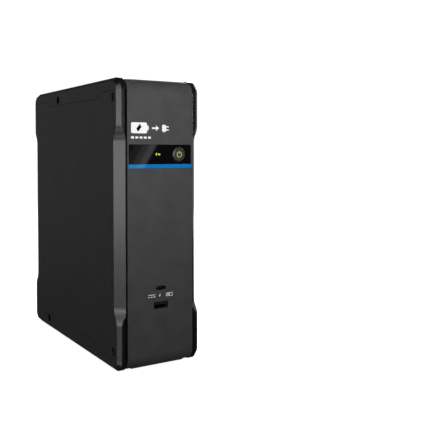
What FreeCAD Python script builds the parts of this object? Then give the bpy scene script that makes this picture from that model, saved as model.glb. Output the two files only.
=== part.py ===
"""Uninterruptible power supply in a slim tower case, as an assembly of separate pieces.

Frame: +X is to the right seen from the front, -Y is the front, +Z is up, and the origin is the middle
of the base. Lengths are millimetres. Every size is a cell of the sheet "dims"; a formula such as
"case_width/2 - wall" names cells, and bind() ties a property to it.
"""
import FreeCAD, Part
import math
import os
import re

import Sketcher

V = FreeCAD.Vector
Rotation = FreeCAD.Rotation

DIMENSIONS = {
    # the case as a whole
    "case_width": 82.0,
    "case_height": 260.0,
    "case_depth": 235.0,
    "wall": 2.5,
    "fit_gap": 0.3,
    # side shells: a thick rounded slab each, with a chamfered rim that is cut wider along a waist
    "shell_width": 8.1,
    "shell_setback": 1.6,
    "corner_radius": 11.0,
    "rim_chamfer": 3.5,
    "waist_chamfer": 9.5,
    "waist_start": 41.0,
    "waist_run": 16.0,
    "ear_chamfer": 1.3,
    # battery door in the left shell, with stepped seams along its top and bottom
    "door_land": 0.8,
    "door_gap": 0.35,
    "door_corner": 1.0,
    "seam_end": 11.5,
    "seam_mid": 16.8,
    "seam_step_front": 35.0,
    "seam_step_back": 50.0,
    "seam_top_rear": 180.0,
    "seam_bottom_rear": 191.0,
    "seam_rear_run": 9.0,
    "deck": 2.0,
    "tab_long": 12.0,
    "tab_thick": 1.8,
    # screws through the side shells and the posts that they enter
    "recess_radius": 4.0,
    "recess_depth": 16.0,
    "tube_wall": 1.2,
    "screw_floor": 2.2,
    "screw_shank": 1.75,
    "screw_head": 3.4,
    "screw_head_high": 2.4,
    "screw_long": 28.0,
    "screw_clearance": 0.15,
    "post_radius": 4.0,
    "door_screw_in": 12.2,
    "door_screw_up": 17.4,
    "top_screw_in": 154.5,
    "top_screw_down": 11.2,
    "bottom_screw_in": 186.5,
    "bottom_screw_up": 11.4,
    # middle casing between the shells
    "band_inset": 1.0,
    "lip_reach": 2.2,
    "lip_thick": 1.2,
    "panel_border": 13.0,
    "panel_side_border": 5.0,
    "panel_recess": 1.0,
    "panel_flange": 2.0,
    "panel_flange_thick": 1.6,
    # front bezel
    "bezel_radius": 12.0,
    "bezel_wrap": 13.5,
    "bezel_wall": 3.0,
    "bezel_side": 6.0,
    "window_width": 62.6,
    "window_low": 183.4,
    "window_high": 201.0,
    "window_thick": 1.6,
    "window_corner": 1.2,
    "stripe_low": 180.0,
    "stripe_inset": 0.8,
    "button_across": 19.1,
    "button_up": 192.2,
    "button_radius": 6.8,
    "button_gap": 0.2,
    "button_travel_room": 0.9,
    "status_across": -2.8,
    "usb_up": 56.5,
    "usb_c_up": 71.9,
    "usb_set_back": 2.0,
    "usb_hole_wide": 14.2,
    "usb_hole_high": 6.4,
    "usb_shell_wide": 13.1,
    "usb_shell_high": 5.7,
    "usb_c_hole_wide": 10.0,
    "usb_c_hole_high": 3.9,
    "usb_c_shell_wide": 8.9,
    "usb_c_shell_high": 3.2,
    # circuit boards
    "board_thick": 1.6,
    "display_board_in": 10.0,
    "usb_board_in": 17.5,
    # battery, 12 V sealed lead acid
    "battery_long": 151.0,
    "battery_wide": 65.0,
    "battery_high": 89.0,
    "battery_lid_high": 5.0,
    "battery_in": 32.0,
    "cradle_top": 18.8,
    "cradle_deck": 1.4,
    "cradle_wall": 2.2,
    "cradle_stop": 26.0,
    "foam_thick": 0.8,
    "shelf_up": 121.0,
    "shelf_thick": 2.4,
    "tab_wide": 6.3,
    "tab_plate": 0.8,
    "tab_high": 6.4,
    "lead_radius": 1.7,
    "lead_bend": 7.0,
    # transformer
    "core_high": 84.0,
    "core_long": 70.0,
    "core_stack": 44.0,
    "core_leg": 14.0,
    "core_in": 34.0,
    "coil_over": 8.0,
    "bracket_thick": 1.5,
    # main board
    "main_board_in": 112.0,
    "main_board_long": 84.0,
    "main_board_up": 132.0,
    "main_board_high": 108.0,
    "standoff": 6.0,
    # rear sockets
    "outlet_top": 229.0,
    "outlet_pitch": 28.5,
    "island_wide": 24.0,
    "island_high": 16.2,
    "trench": 2.6,
    "trench_deep": 14.0,
    "socket_flange": 2.6,
    "socket_flange_thick": 1.4,
    "socket_deep": 22.0,
    "socket_bevel": 4.0,
    "pin_pitch": 7.0,
    "pin_offset": 2.0,
    "pin_wide": 2.0,
    "pin_high": 4.0,
    "inlet_up": 33.0,
    "inlet_wide": 24.6,
    "inlet_high": 17.0,
    "inlet_deep": 16.0,
    "inlet_wall": 1.6,
    "inlet_flange_wide": 50.0,
    "inlet_screw_pitch": 40.0,
    "breaker_across": 15.0,
    "breaker_up": 66.0,
    "breaker_bush": 5.5,
    "breaker_button": 3.2,
    "jack_up": 96.0,
    "jack_across": -8.0,
    "jack_wide": 15.9,
    "jack_high": 13.2,
    "jack_deep": 16.0,
    "usb_b_across": 18.5,
    "vent_up": 112.0,
    "vent_wide": 40.0,
    "vent_high": 2.6,
    "vent_pitch": 5.2,
}

# Places that many pieces share, as formulas of the sheet's cells.
FRONT = "(-case_depth/2)"
REAR = "(case_depth/2)"
LEFT = "(-case_width/2)"
SHELL_FRONT = "(-case_depth/2 + shell_setback)"
BAND = "(case_width/2 - shell_width)"
DOOR_BACK = "(-case_width/2 + wall - 0.1)"
DECK_BACK = "(-case_width/2 + wall + deck)"
RECESS_FLOOR = "(-case_width/2 + recess_depth)"
POST_END = "(-case_width/2 + recess_depth + screw_floor + 0.1)"
WEB = "(case_width/2 - shell_width - wall)"
BAND_REAR = "(case_depth/2 - band_inset)"
PANEL_FACE = "(case_depth/2 - band_inset - panel_recess)"
PANEL_BACK = "(case_depth/2 - band_inset - wall)"
DISPLAY_FACE = "(-case_depth/2 + display_board_in)"
USB_BOARD_FACE = "(-case_depth/2 + usb_board_in)"
BATTERY_LEFT = "(case_width/2 - shell_width - wall - foam_thick - battery_wide)"
BATTERY_TOP = "(cradle_top + battery_high + battery_lid_high)"
SHELF_TOP = "(shelf_up + shelf_thick)"
BOARD_FACE = "(case_width/2 - shell_width - wall - standoff - board_thick)"

doc = FreeCAD.newDocument("power_supply")
sheet = doc.addObject("Spreadsheet::Sheet", "dims")
for row, (alias, value) in enumerate(DIMENSIONS.items(), 1):
    sheet.set(f"A{row}", alias)
    sheet.set(f"B{row}", str(value))
    sheet.setAlias(f"B{row}", alias)
doc.recompute()

nodes = {}


# ---------------------------------------------------------------- formulas and basic solids


def on_sheet(text):
    """The formula with each dimension's name pointing at its cell."""
    return re.sub(r"[a-z]\w*", lambda m: "dims." + m[0] if m[0] in DIMENSIONS else m[0], str(text))


def size(text):
    """The formula's value."""
    return float(sheet.evalExpression(on_sheet(text)))


def bind(thing, prop, text):
    thing.setExpression(prop, on_sheet(text))


def name_node(node, thing):
    """Makes a document object the sub-part called node."""
    thing.Label = node
    nodes[node] = thing
    return thing


def box(name, x, y, z):
    """A block between two formulas on each axis."""
    solid = doc.addObject("Part::Box", name)
    for prop, axis, (low, high) in zip(("Length", "Width", "Height"), "xyz", (x, y, z)):
        bind(solid, prop, f"({high}) - ({low})")
        bind(solid, f"Placement.Base.{axis}", low)
    return solid


TURNS = {"x": Rotation(V(0, 1, 0), 90), "y": Rotation(V(1, 0, 0), -90), "z": Rotation()}


def rod(name, axis, ends, across, radius):
    """A cylinder along axis between two formulas; across gives the other two axes' formulas in order."""
    solid = doc.addObject("Part::Cylinder", name)
    solid.Placement = FreeCAD.Placement(V(), TURNS[axis])
    bind(solid, "Radius", radius)
    bind(solid, "Height", f"({ends[1]}) - ({ends[0]})")
    bind(solid, f"Placement.Base.{axis}", ends[0])
    for other, place in zip("xyz".replace(axis, ""), across):
        bind(solid, f"Placement.Base.{other}", place)
    return solid


def cut(name, base, *tools):
    """base without the tools."""
    tool = tools[0]
    if len(tools) > 1:
        tool = doc.addObject("Part::MultiFuse", name + "_tools")
        tool.Shapes = list(tools)
    solid = doc.addObject("Part::Cut", name)
    solid.Base = base
    solid.Tool = tool
    return solid


def fuse(name, *pieces):
    """The pieces as one solid, or as a group of solids where they don't touch."""
    solid = doc.addObject("Part::MultiFuse", name)
    solid.Shapes = list(pieces)
    solid.Refine = True
    return solid


def mirror(name, source, axis, place="0"):
    """source reflected in the plane square to axis at place."""
    solid = doc.addObject("Part::Mirroring", name)
    solid.Source = source
    solid.Normal = V(*(float(axis == a) for a in "xyz"))
    bind(solid, f"Base.{axis}", place)
    return solid


def edge_numbers(solid, chosen):
    """The numbers of the edges that the test chosen(middle point, direction) accepts."""
    doc.recompute()
    found = []
    for number, edge in enumerate(solid.Shape.Edges, 1):
        middle = edge.valueAt((edge.FirstParameter + edge.LastParameter) / 2)
        direction = edge.tangentAt((edge.FirstParameter + edge.LastParameter) / 2)
        if chosen(middle, direction):
            found.append(number)
    return found


def soften(name, kind, base, amount, chosen):
    """A Part::Fillet or Part::Chamfer of base along the chosen edges."""
    solid = doc.addObject("Part::" + kind, name)
    numbers = edge_numbers(base, chosen)
    solid.Base = base
    solid.Edges = [(number, size(amount), size(amount)) for number in numbers]
    return solid


def lies_along(axis):
    """A test for edges parallel to axis."""
    return lambda middle, direction: abs(getattr(direction, axis)) > 0.999


def own_shape(name, shape, place=None):
    """A Part::Feature holding a shape that this script works out from the sheet."""
    solid = doc.addObject("Part::Feature", name)
    solid.Shape = shape
    if place is not None:
        solid.Placement = place
    return solid


# ---------------------------------------------------------------- PartDesign bodies from flat outlines


def rectangle(u, v):
    """Adds a rectangle between the formulas u = (low, high) and v = (low, high) to a sketch."""

    def add(sketch):
        corners = [V(size(u[i]), size(v[j]), 0) for i, j in ((0, 0), (1, 0), (1, 1), (0, 1))]
        first = sketch.GeometryCount
        for i in range(4):
            sketch.addGeometry(Part.LineSegment(corners[i], corners[(i + 1) % 4]), False)
        for i in range(4):
            sketch.addConstraint(Sketcher.Constraint("Coincident", first + i, 2, first + (i + 1) % 4, 1))
        for i in (0, 2):
            sketch.addConstraint(Sketcher.Constraint("Horizontal", first + i))
            sketch.addConstraint(Sketcher.Constraint("Vertical", first + i + 1))
        place_point(sketch, first, 1, u[0], v[0])
        place_point(sketch, first + 1, 2, u[1], v[1])

    return add


def disc(u, v, radius):
    """Adds a circle at the formulas (u, v) to a sketch."""

    def add(sketch):
        number = sketch.addGeometry(Part.Circle(V(size(u), size(v), 0), V(0, 0, 1), size(radius)), False)
        place_point(sketch, number, 3, u, v)
        held = sketch.addConstraint(Sketcher.Constraint("Radius", number, size(radius)))
        bind(sketch, f"Constraints[{held}]", radius)

    return add


def stadium(u, v, high):
    """Adds a slot from u[0] to u[1] end to end, centred on v and high tall, to a sketch."""

    def add(sketch):
        r = size(high) / 2
        low, top = size(v) - r, size(v) + r
        near, far = size(u[0]) + r, size(u[1]) - r
        first = sketch.GeometryCount
        sketch.addGeometry(Part.LineSegment(V(near, low, 0), V(far, low, 0)), False)
        right = Part.Circle(V(far, size(v), 0), V(0, 0, 1), r)
        sketch.addGeometry(Part.ArcOfCircle(right, -math.pi / 2, math.pi / 2), False)
        sketch.addGeometry(Part.LineSegment(V(far, top, 0), V(near, top, 0)), False)
        left = Part.Circle(V(near, size(v), 0), V(0, 0, 1), r)
        sketch.addGeometry(Part.ArcOfCircle(left, math.pi / 2, 3 * math.pi / 2), False)
        for i in range(4):
            joined = (first + i, 2, first + (i + 1) % 4, 1)
            sketch.addConstraint(Sketcher.Constraint("Tangent", *joined))
        sketch.addConstraint(Sketcher.Constraint("Horizontal", first))
        held = sketch.addConstraint(Sketcher.Constraint("Radius", first + 1, r))
        bind(sketch, f"Constraints[{held}]", f"({high})/2")
        place_point(sketch, first + 1, 3, f"({u[1]}) - ({high})/2", v)
        held = sketch.addConstraint(Sketcher.Constraint("DistanceX", -1, 1, first + 3, 3, near))
        bind(sketch, f"Constraints[{held}]", f"({u[0]}) + ({high})/2")

    return add


def place_point(sketch, geometry, point, u, v):
    """Holds a point of the sketch at the formulas (u, v) from its origin."""
    for kind, formula in (("DistanceX", u), ("DistanceY", v)):
        held = sketch.addConstraint(Sketcher.Constraint(kind, -1, 1, geometry, point, size(formula)))
        bind(sketch, f"Constraints[{held}]", formula)


class Body:
    """A PartDesign body made of pads and pockets, each sketched square to one axis.

    Sketch coordinates are (X, Y) square to z, (X, Z) square to y and (Y, Z) square to x.
    """

    ROLES = {"z": "XY_Plane", "y": "XZ_Plane", "x": "YZ_Plane"}

    def __init__(self, name, axis):
        self.body = doc.addObject("PartDesign::Body", name)
        self.axis = axis

    def sketch(self, place, outlines):
        """Outlines on the plane square to the axis at place. The XZ plane's normal is -Y."""
        sketch = self.body.newObject("Sketcher::SketchObject", self.body.Name + "_sketch")
        origin = self.body.Origin.OriginFeatures
        plane = next(f for f in origin if f.Role == self.ROLES[self.axis])
        sketch.AttachmentSupport = (plane, "")
        sketch.MapMode = "FlatFace"
        bind(sketch, "AttachmentOffset.Base.z", f"-({place})" if self.axis == "y" else place)
        for add in outlines:
            add(sketch)
        return sketch

    def pad(self, span, *outlines):
        """Material from span[0] to span[1] along the axis."""
        sketch = self.sketch(span[0], outlines)
        pad = self.body.newObject("PartDesign::Pad", self.body.Name + "_pad")
        pad.Profile = sketch
        bind(pad, "Length", f"({span[1]}) - ({span[0]})")
        pad.Reversed = self.axis == "y"
        return self

    def pocket(self, span, *outlines):
        """Cuts from span[0] to span[1] along the axis, and checks that it took material."""
        doc.recompute()
        before = self.body.Shape.Volume
        sketch = self.sketch(span[0] if self.axis == "y" else span[1], outlines)
        pocket = self.body.newObject("PartDesign::Pocket", self.body.Name + "_pocket")
        pocket.Profile = sketch
        bind(pocket, "Length", f"({span[1]}) - ({span[0]})")
        doc.recompute()
        if self.body.Shape.Volume > before - 1e-3:
            raise RuntimeError(f"{self.body.Label}: a pocket cut nothing")
        return self

    def dress(self, kind, amount, chosen):
        """A PartDesign Fillet or Chamfer along the chosen edges."""
        doc.recompute()
        tip = self.body.Tip
        numbers = edge_numbers(tip, chosen)
        feature = self.body.newObject("PartDesign::" + kind, self.body.Name + "_" + kind)
        feature.Base = (tip, [f"Edge{number}" for number in numbers])
        bind(feature, "Radius" if kind == "Fillet" else "Size", amount)
        return self


# ---------------------------------------------------------------- curves


def s_curve(start, end):
    """Two equal tangent arcs from start to end in the (across, up) plane, both ends pointing up."""
    run, shift = end[1] - start[1], end[0] - start[0]
    radius = (run * run + shift * shift) / (4 * abs(shift))
    half = math.asin(abs(run) / 2 / radius) / 2
    sway = radius * (1 - math.cos(half)) * math.copysign(1, shift)
    rise = radius * math.sin(half) * math.copysign(1, run)
    middle = ((start[0] + end[0]) / 2, (start[1] + end[1]) / 2)
    return [
        (start, (start[0] + sway, start[1] + rise), middle),
        (middle, (end[0] - sway, end[1] - rise), end),
    ]


def closed_wire(steps, to_point):
    """A wire from steps that are corner points or (start, through, end) arcs, closed at the end."""
    edges = []
    first = last = None
    for step in steps:
        arc = isinstance(step[0], tuple)
        start, end = (step[0], step[2]) if arc else (step, step)
        if last is not None and (to_point(last) - to_point(start)).Length > 1e-7:
            edges.append(Part.LineSegment(to_point(last), to_point(start)).toShape())
        if arc:
            edges.append(Part.Arc(*(to_point(p) for p in step)).toShape())
        first = start if first is None else first
        last = end
    if (to_point(last) - to_point(first)).Length > 1e-7:
        edges.append(Part.LineSegment(to_point(last), to_point(first)).toShape())
    return Part.Wire(edges)


def bent_path(points, radius):
    """Straight runs between points, joined by tangent arcs of up to radius."""
    points = [V(*p) for p in points]
    edges = []
    start = points[0]
    for before, corner, after in zip(points, points[1:], points[2:]):
        into, out = (corner - before).normalize(), (after - corner).normalize()
        turn = into.getAngle(out)
        room = 0.45 * min((corner - before).Length, (after - corner).Length)
        reach = min(radius * math.tan(turn / 2), room)
        enter, leave = corner - into * reach, corner + out * reach
        bow = reach / math.tan(turn / 2) * (1 / math.cos(turn / 2) - 1)
        through = corner + (out - into).normalize() * bow
        edges.append(Part.LineSegment(start, enter).toShape())
        edges.append(Part.Arc(enter, through, leave).toShape())
        start = leave
    edges.append(Part.LineSegment(start, points[-1]).toShape())
    return Part.Wire(edges)


def wire_tube(points, radius, bend):
    """A round lead along straight runs and tangent arcs."""
    path = bent_path(points, bend)
    start = path.Edges[0]
    along = start.tangentAt(start.FirstParameter)
    section = Part.Wire(Part.Circle(start.valueAt(start.FirstParameter), along, radius).toShape())
    tube = path.makePipeShell([section], True, False)
    ideal = math.pi * radius**2 * path.Length
    if abs(tube.Volume - ideal) > 0.02 * ideal:
        raise RuntimeError("a lead's volume is not its section times its length")
    return tube


def inside(depth):
    """The y place a depth behind the bezel's front plane."""
    return f"(-case_depth/2 + {depth})"


# ---------------------------------------------------------------- side shells and battery door

FAR = 12.0
SHY = 0.02
DOOR_SCREWS = [("door_screw_in", "door_screw_up"), ("door_screw_in", "case_height - door_screw_up")]
CASE_SCREWS = [("top_screw_in", "case_height - top_screw_down"), ("bottom_screw_in", "bottom_screw_up")]
TABS = [("70", "seam_mid"), ("150", "seam_mid"), ("70", "case_height"), ("150", "case_height")]


def waist_wedge():
    """The stock that the waist takes off a shell's front rim, running out through the shell's side."""
    front, out = size(SHELL_FRONT) + 1, size(LEFT) - 1
    low, run = size("waist_start"), size("waist_run")
    high = size("case_height") - low
    narrow, wide = front + size("rim_chamfer") - SHY, front + size("waist_chamfer")
    steps = [(front - FAR, low), *s_curve((narrow, low), (wide, low + run))]
    steps += [*s_curve((wide, high - run), (narrow, high)), (front - FAR, high)]
    face = Part.Face(closed_wire(steps, lambda p: V(out, p[0], p[1])))
    return face.extrude(V(FAR, -FAR, 0))


def door_outline():
    """The door's edge in the plane of the shell's side, stepped along its top and bottom."""
    front, rear = size(FRONT), size(REAR)
    low, run = size("waist_start"), size("waist_run")
    tall = size("case_height")
    high = tall - low
    ear, waist = size("rim_chamfer + door_land"), size("waist_chamfer + door_land")
    fore, aft = size(SHELL_FRONT), rear
    end, mid = size("seam_end"), size("seam_mid")
    step = [front + size(name) for name in ("seam_step_front", "seam_step_back")]
    top_rear, bottom_rear = front + size("seam_top_rear"), front + size("seam_bottom_rear")
    fall = size("seam_rear_run")
    steps = [(fore + ear, end), (step[0], end), (step[1], mid), (bottom_rear, mid)]
    steps += [(bottom_rear + fall, end + 2), (aft - ear, end + 2)]
    steps += [*s_curve((aft - ear, low), (aft - waist, low + run))]
    steps += [*s_curve((aft - waist, high - run), (aft - ear, high))]
    steps += [(aft - ear, tall - end), (top_rear + fall, tall - end), (top_rear, tall - mid)]
    steps += [(step[1], tall - mid), (step[0], tall - end), (fore + ear, tall - end)]
    steps += [*s_curve((fore + ear, high), (fore + waist, high - run))]
    steps += [*s_curve((fore + waist, low + run), (fore + ear, low))]
    return closed_wire(steps, lambda p: V(size(LEFT), p[0], p[1]))


def rounded_prism(wire, length, radius):
    """A prism of the outline toward +X with its sharp corners rounded."""
    prism = Part.Face(wire).extrude(V(length, 0, 0))
    corners = []
    for edge in prism.Edges:
        if abs(edge.tangentAt(edge.FirstParameter).x) < 0.999:
            continue
        sides = [face for face in prism.Faces if any(edge.isSame(other) for other in face.Edges)]
        at = edge.valueAt(edge.FirstParameter)
        normals = [side.normalAt(*side.Surface.parameter(at)) for side in sides]
        if len(normals) == 2 and abs(normals[0].dot(normals[1])) < 0.999:
            corners.append(edge)
    return prism.makeFillet(radius, corners)


def ear_edge():
    """The stock that a narrow chamfer takes off a shell's inner front edge, between its rounded corners."""
    inner, front, cut_in = size("-" + BAND), size(SHELL_FRONT), size("ear_chamfer")
    corners = [(inner + 1, front - 1), (inner - cut_in - 1, front - 1), (inner + 1, front + cut_in + 1)]
    points = [V(x, y, size("corner_radius")) for x, y in corners]
    face = Part.Face(Part.makePolygon(points + points[:1]))
    return face.extrude(V(0, 0, size("case_height - 2*corner_radius")))


def shell_slab(name):
    """A side shell before its details, on the left: a rounded slab, its rim, its waist and its hollow."""
    slab = Body(name + "_slab", "x")
    slab.pad((LEFT, "-" + BAND), rectangle((SHELL_FRONT, REAR), ("0", "case_height")))
    slab.dress("Fillet", "corner_radius", lies_along("x"))
    slab.dress("Chamfer", "rim_chamfer", lambda p, d: abs(p.x - size(LEFT)) < 1e-6)
    wedge = own_shape(name + "_waist", waist_wedge())
    inset = "(waist_chamfer + wall*1.42 - shell_width)"
    hollow = Body(name + "_hollow", "x")
    span = (f"{SHELL_FRONT} + {inset}", f"{REAR} - {inset}")
    hollow.pad((DECK_BACK, f"-{BAND} + 1"), rectangle(span, ("wall", "case_height - wall")))
    hollow.dress("Fillet", "corner_radius - wall", lies_along("x"))
    hollow.dress("Chamfer", "shell_width - wall - deck", lambda p, d: abs(p.x - size(DECK_BACK)) < 1e-6)
    rear_wedge = mirror(name + "_waist_rear", wedge, "y", "shell_setback/2")
    ear = own_shape(name + "_ear_edge", ear_edge())
    return cut(name + "_shaped", slab.body, wedge, rear_wedge, ear, hollow.body)


def bores(name, places, ends, radius):
    """Rods along X at each (depth, height) place."""
    return [rod(name, "x", ends, (inside(deep), up), radius) for deep, up in places]


door_solid = rounded_prism(door_outline(), size("wall - 0.1"), size("door_corner"))
door_face = min(door_solid.Faces, key=lambda face: face.CenterOfMass.x)
pocket_wire = door_face.OuterWire.makeOffset2D(size("door_gap"))
pocket_solid = Part.Face(pocket_wire).extrude(V(size("wall"), 0, 0))
door_pocket = own_shape("door_pocket", pocket_solid)

TUBE = "(recess_radius + tube_wall)"
POCKET_FLOOR = "(-case_width/2 + wall)"
left_tubes = bores("case_tube", CASE_SCREWS, (POCKET_FLOOR, f"{RECESS_FLOOR} + screw_floor"), TUBE)
left_solid = fuse("left_solid", cut("left_pocketed", shell_slab("left"), door_pocket), *left_tubes)
left_cuts = bores("case_recess", CASE_SCREWS, (f"{LEFT} - 1", RECESS_FLOOR), "recess_radius")
left_cuts += bores(
    "case_shank_hole", CASE_SCREWS, (f"{LEFT} - 1", POST_END), "screw_shank + screw_clearance"
)
left_cuts += bores(
    "door_tube_hole", DOOR_SCREWS, (f"{POCKET_FLOOR} - 0.5", f"-{BAND} + 1"), f"{TUBE} + fit_gap"
)
left_cuts.append(
    box(
        "battery_opening",
        (f"{POCKET_FLOOR} - 0.5", f"{DECK_BACK} + 1"),
        (inside("battery_in - 2"), inside("battery_in + battery_long + 3")),
        ("cradle_top - 1", f"{BATTERY_TOP} + tab_high"),
    )
)


def tab(name, deep, up, grow):
    """A door tab, or with grow the slot it passes through."""
    high = f"(case_height - {up})" if up == "case_height" else up
    low = "(case_height - seam_mid - 2.6 - tab_thick)" if up == "case_height" else "(seam_mid + 2.6)"
    ends = (f"{DOOR_BACK} - {grow}*0.5", f"{BATTERY_LEFT} - fit_gap + {grow}")
    along = (f"{inside(deep)} - tab_long/2 - {grow}", f"{inside(deep)} + tab_long/2 + {grow}")
    return box(name, ends, along, (f"{low} - {grow}", f"{low} + tab_thick + {grow}"))


left_cuts += [tab("tab_slot", deep, up, "fit_gap") for deep, up in TABS]
name_node("left_shell", cut("left_shell_solid", left_solid, *left_cuts))

door_tubes = bores("door_tube", DOOR_SCREWS, (f"{DOOR_BACK} - 1", f"{RECESS_FLOOR} + screw_floor"), TUBE)
door_tabs = [tab("door_tab", deep, up, "0") for deep, up in TABS]
door_plate = own_shape("door_plate", door_solid)
door_cuts = bores("door_recess", DOOR_SCREWS, (f"{LEFT} - 1", RECESS_FLOOR), "recess_radius")
door_cuts += bores(
    "door_shank_hole", DOOR_SCREWS, (f"{LEFT} - 1", POST_END), "screw_shank + screw_clearance"
)
door_ribs = [
    box(
        "door_rib", (f"{DOOR_BACK} - 0.5", f"{DOOR_BACK} + 1.2"), (inside(deep), inside(f"{deep} + 1.6")), z
    )
    for deep in ("52", "108", "164")
    for z in [("cradle_top + 3", f"{BATTERY_TOP} - 4")]
]
name_node(
    "battery_door",
    cut("door_solid", fuse("door_raw", door_plate, *door_tubes, *door_tabs, *door_ribs), *door_cuts),
)


def case_screw(name, deep, up):
    """A pan-head cross-recess screw along +X with its head on the recess floor."""
    at = (inside(deep), up)
    head = rod(name + "_head", "x", (f"{RECESS_FLOOR} - screw_head_high", RECESS_FLOOR), at, "screw_head")
    shank = rod(
        name + "_shank", "x", (f"{RECESS_FLOOR} - 1", f"{RECESS_FLOOR} + screw_long"), at, "screw_shank"
    )
    slots = []
    for wide, high in (("1.9", "0.5"), ("0.5", "1.9")):
        along = (f"{at[0]} - {wide}", f"{at[0]} + {wide}")
        tall = (f"{up} - {high}", f"{up} + {high}")
        ends = (f"{RECESS_FLOOR} - screw_head_high - 1", f"{RECESS_FLOOR} - screw_head_high + 1.4")
        slots.append(box(name + "_slot", ends, along, tall))
    return cut(name, fuse(name + "_raw", head, shank), *slots)


for node, places in (("door_screws", DOOR_SCREWS), ("case_screws", CASE_SCREWS)):
    screws = [case_screw(f"{node}_{i}", deep, up) for i, (deep, up) in enumerate(places, 1)]
    name_node(node, fuse(node + "_pair", *screws))

ALL_SCREWS = DOOR_SCREWS + CASE_SCREWS
posts = bores("post", ALL_SCREWS, (POST_END, "case_width/2 - wall + 1"), "post_radius")
pilots = bores("pilot", ALL_SCREWS, (f"{POST_END} - 1", f"{RECESS_FLOOR} + screw_long + 2"), "screw_shank")
right_skin = mirror("right_skin", shell_slab("right"), "x")
name_node("right_shell", cut("right_solid", fuse("right_raw", right_skin, *posts), *pilots))

# ---------------------------------------------------------------- middle casing and rear panel

BAND_SIDE = (f"-{BAND}", BAND)
BAND_FRONT = inside("bezel_wrap + fit_gap")
BAND_TOP = "(case_height - band_inset)"
OPENING = (f"-({BAND} - panel_side_border)", f"({BAND} - panel_side_border)")
OPENING_UP = ("panel_border", "case_height - panel_border")
STAND_BOARD = [
    (f"main_board_in + {deep}", f"main_board_up + {up}")
    for deep in ("5", "main_board_long - 5")
    for up in ("5", "main_board_high - 5")
]
SHELF_ALONG = (inside("16"), inside("battery_in + battery_long - 4"))
SHELF_ACROSS = (f"-{BAND} + 2", WEB)

ring = Body("band_ring", "x")
ring.pad(BAND_SIDE, rectangle((f"{FRONT} - 20", BAND_REAR), ("band_inset", BAND_TOP)))
ring.dress("Fillet", "corner_radius - band_inset", lambda p, d: abs(d.x) > 0.999 and p.y > 0)
core_room = Body("band_room", "x")
room_up = ("band_inset + wall", f"{BAND_TOP} - wall")
core_room.pad((f"-{BAND} - 1", f"{BAND} + 1"), rectangle((f"{FRONT} - 30", PANEL_BACK), room_up))
core_room.dress("Fillet", "corner_radius - band_inset - wall", lambda p, d: abs(d.x) > 0.999 and p.y > 0)
front_room = box(
    "band_front_room", (f"-{BAND} - 1", f"{BAND} + 1"), (f"{FRONT} - 30", BAND_FRONT), ("0", "case_height")
)
panel_window = box("panel_window", OPENING, (f"{PANEL_BACK} - 1", f"{REAR} + 1"), OPENING_UP)
hollow_band = cut("hollow_band", ring.body, core_room.body, front_room, panel_window)

lip_along = (inside("28"), inside("case_depth - 28"))
extras = []
for name, root, sign in (("low", room_up[0], "+"), ("high", room_up[1], "-")):
    near = f"{root} {sign} (lip_reach - band_inset + fit_gap)"
    far = f"{root} {sign} (lip_reach - band_inset + fit_gap + lip_thick)"
    lip_up = (near, far) if sign == "+" else (far, near)
    keel_up = (f"{root} - 0.5", far) if sign == "+" else (far, f"{root} + 0.5")
    for inner, outer in ((f"(2 - {BAND})", f"(-{BAND} - lip_reach)"), (WEB, f"({BAND} + lip_reach)")):
        across = sorted((inner, outer), key=size)
        extras.append(box(name + "_lip", across, lip_along, lip_up))
    extras.append(box(name + "_keel", (f"-{BAND}", f"2 - {BAND}"), lip_along, keel_up))
extras.append(
    box(
        "web",
        (WEB, BAND),
        (BAND_FRONT, f"{PANEL_BACK} + 0.5"),
        (f"{room_up[0]} - 0.5", f"{room_up[1]} + 0.5"),
    ),
)
deck_up = ("cradle_top - cradle_deck", "cradle_top")
cradle_across = (f"-{BAND} + 1", f"{WEB} + 0.5")
cradle_along = (
    inside("battery_in - fit_gap - cradle_wall"),
    inside("battery_in + battery_long + fit_gap + cradle_wall"),
)
extras.append(box("cradle_deck", cradle_across, cradle_along, deck_up))
for deep in ("battery_in - fit_gap - cradle_wall", "battery_in + battery_long + fit_gap"):
    stop = (inside(deep), inside(f"{deep} + cradle_wall"))
    extras.append(box("cradle_stop", cradle_across, stop, ("cradle_top - cradle_deck", "cradle_stop")))
for deep in ("battery_in + 6", "battery_in + battery_long/2", "battery_in + battery_long - 18"):
    rib = (inside(deep), inside(f"{deep} + 2"))
    extras.append(box("cradle_rib", cradle_across, rib, (f"{room_up[0]} - 0.5", f"{deck_up[0]} + 0.5")))
for deep in ("18", "battery_in + battery_long - 12"):
    ledge = (inside(deep), inside(f"{deep} + 6"))
    extras.append(box("shelf_ledge", (f"{WEB} - 5", f"{WEB} + 0.5"), ledge, ("shelf_up - 2.4", "shelf_up")))
for deep, up in STAND_BOARD:
    extras.append(
        rod("board_post", "x", (f"{BOARD_FACE} + board_thick", f"{WEB} + 0.5"), (inside(deep), up), "3")
    )
band_cuts = bores(
    "band_post_hole", ALL_SCREWS, (f"-{BAND} - 1", f"{BAND} + lip_reach + 1"), "post_radius + 0.5"
)
band_cuts += bores("tube_room", ALL_SCREWS, (f"-{BAND} - 4", f"{POST_END} + 1"), f"{TUBE} + fit_gap")
band_cuts += bores("board_screw_pilot", STAND_BOARD, (BOARD_FACE, f"{BAND} - 1"), "1.2")
for i in range(6):
    slot_up = (f"{SHELF_TOP} + 12 + {16*i}", f"{SHELF_TOP} + 15 + {16*i}")
    band_cuts.append(box("web_vent", (f"{WEB} - 1", f"{BAND} + 1"), (inside("30"), inside("100")), slot_up))
name_node("mid_casing", cut("mid_solid", fuse("mid_raw", hollow_band, *extras), *band_cuts))

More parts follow.
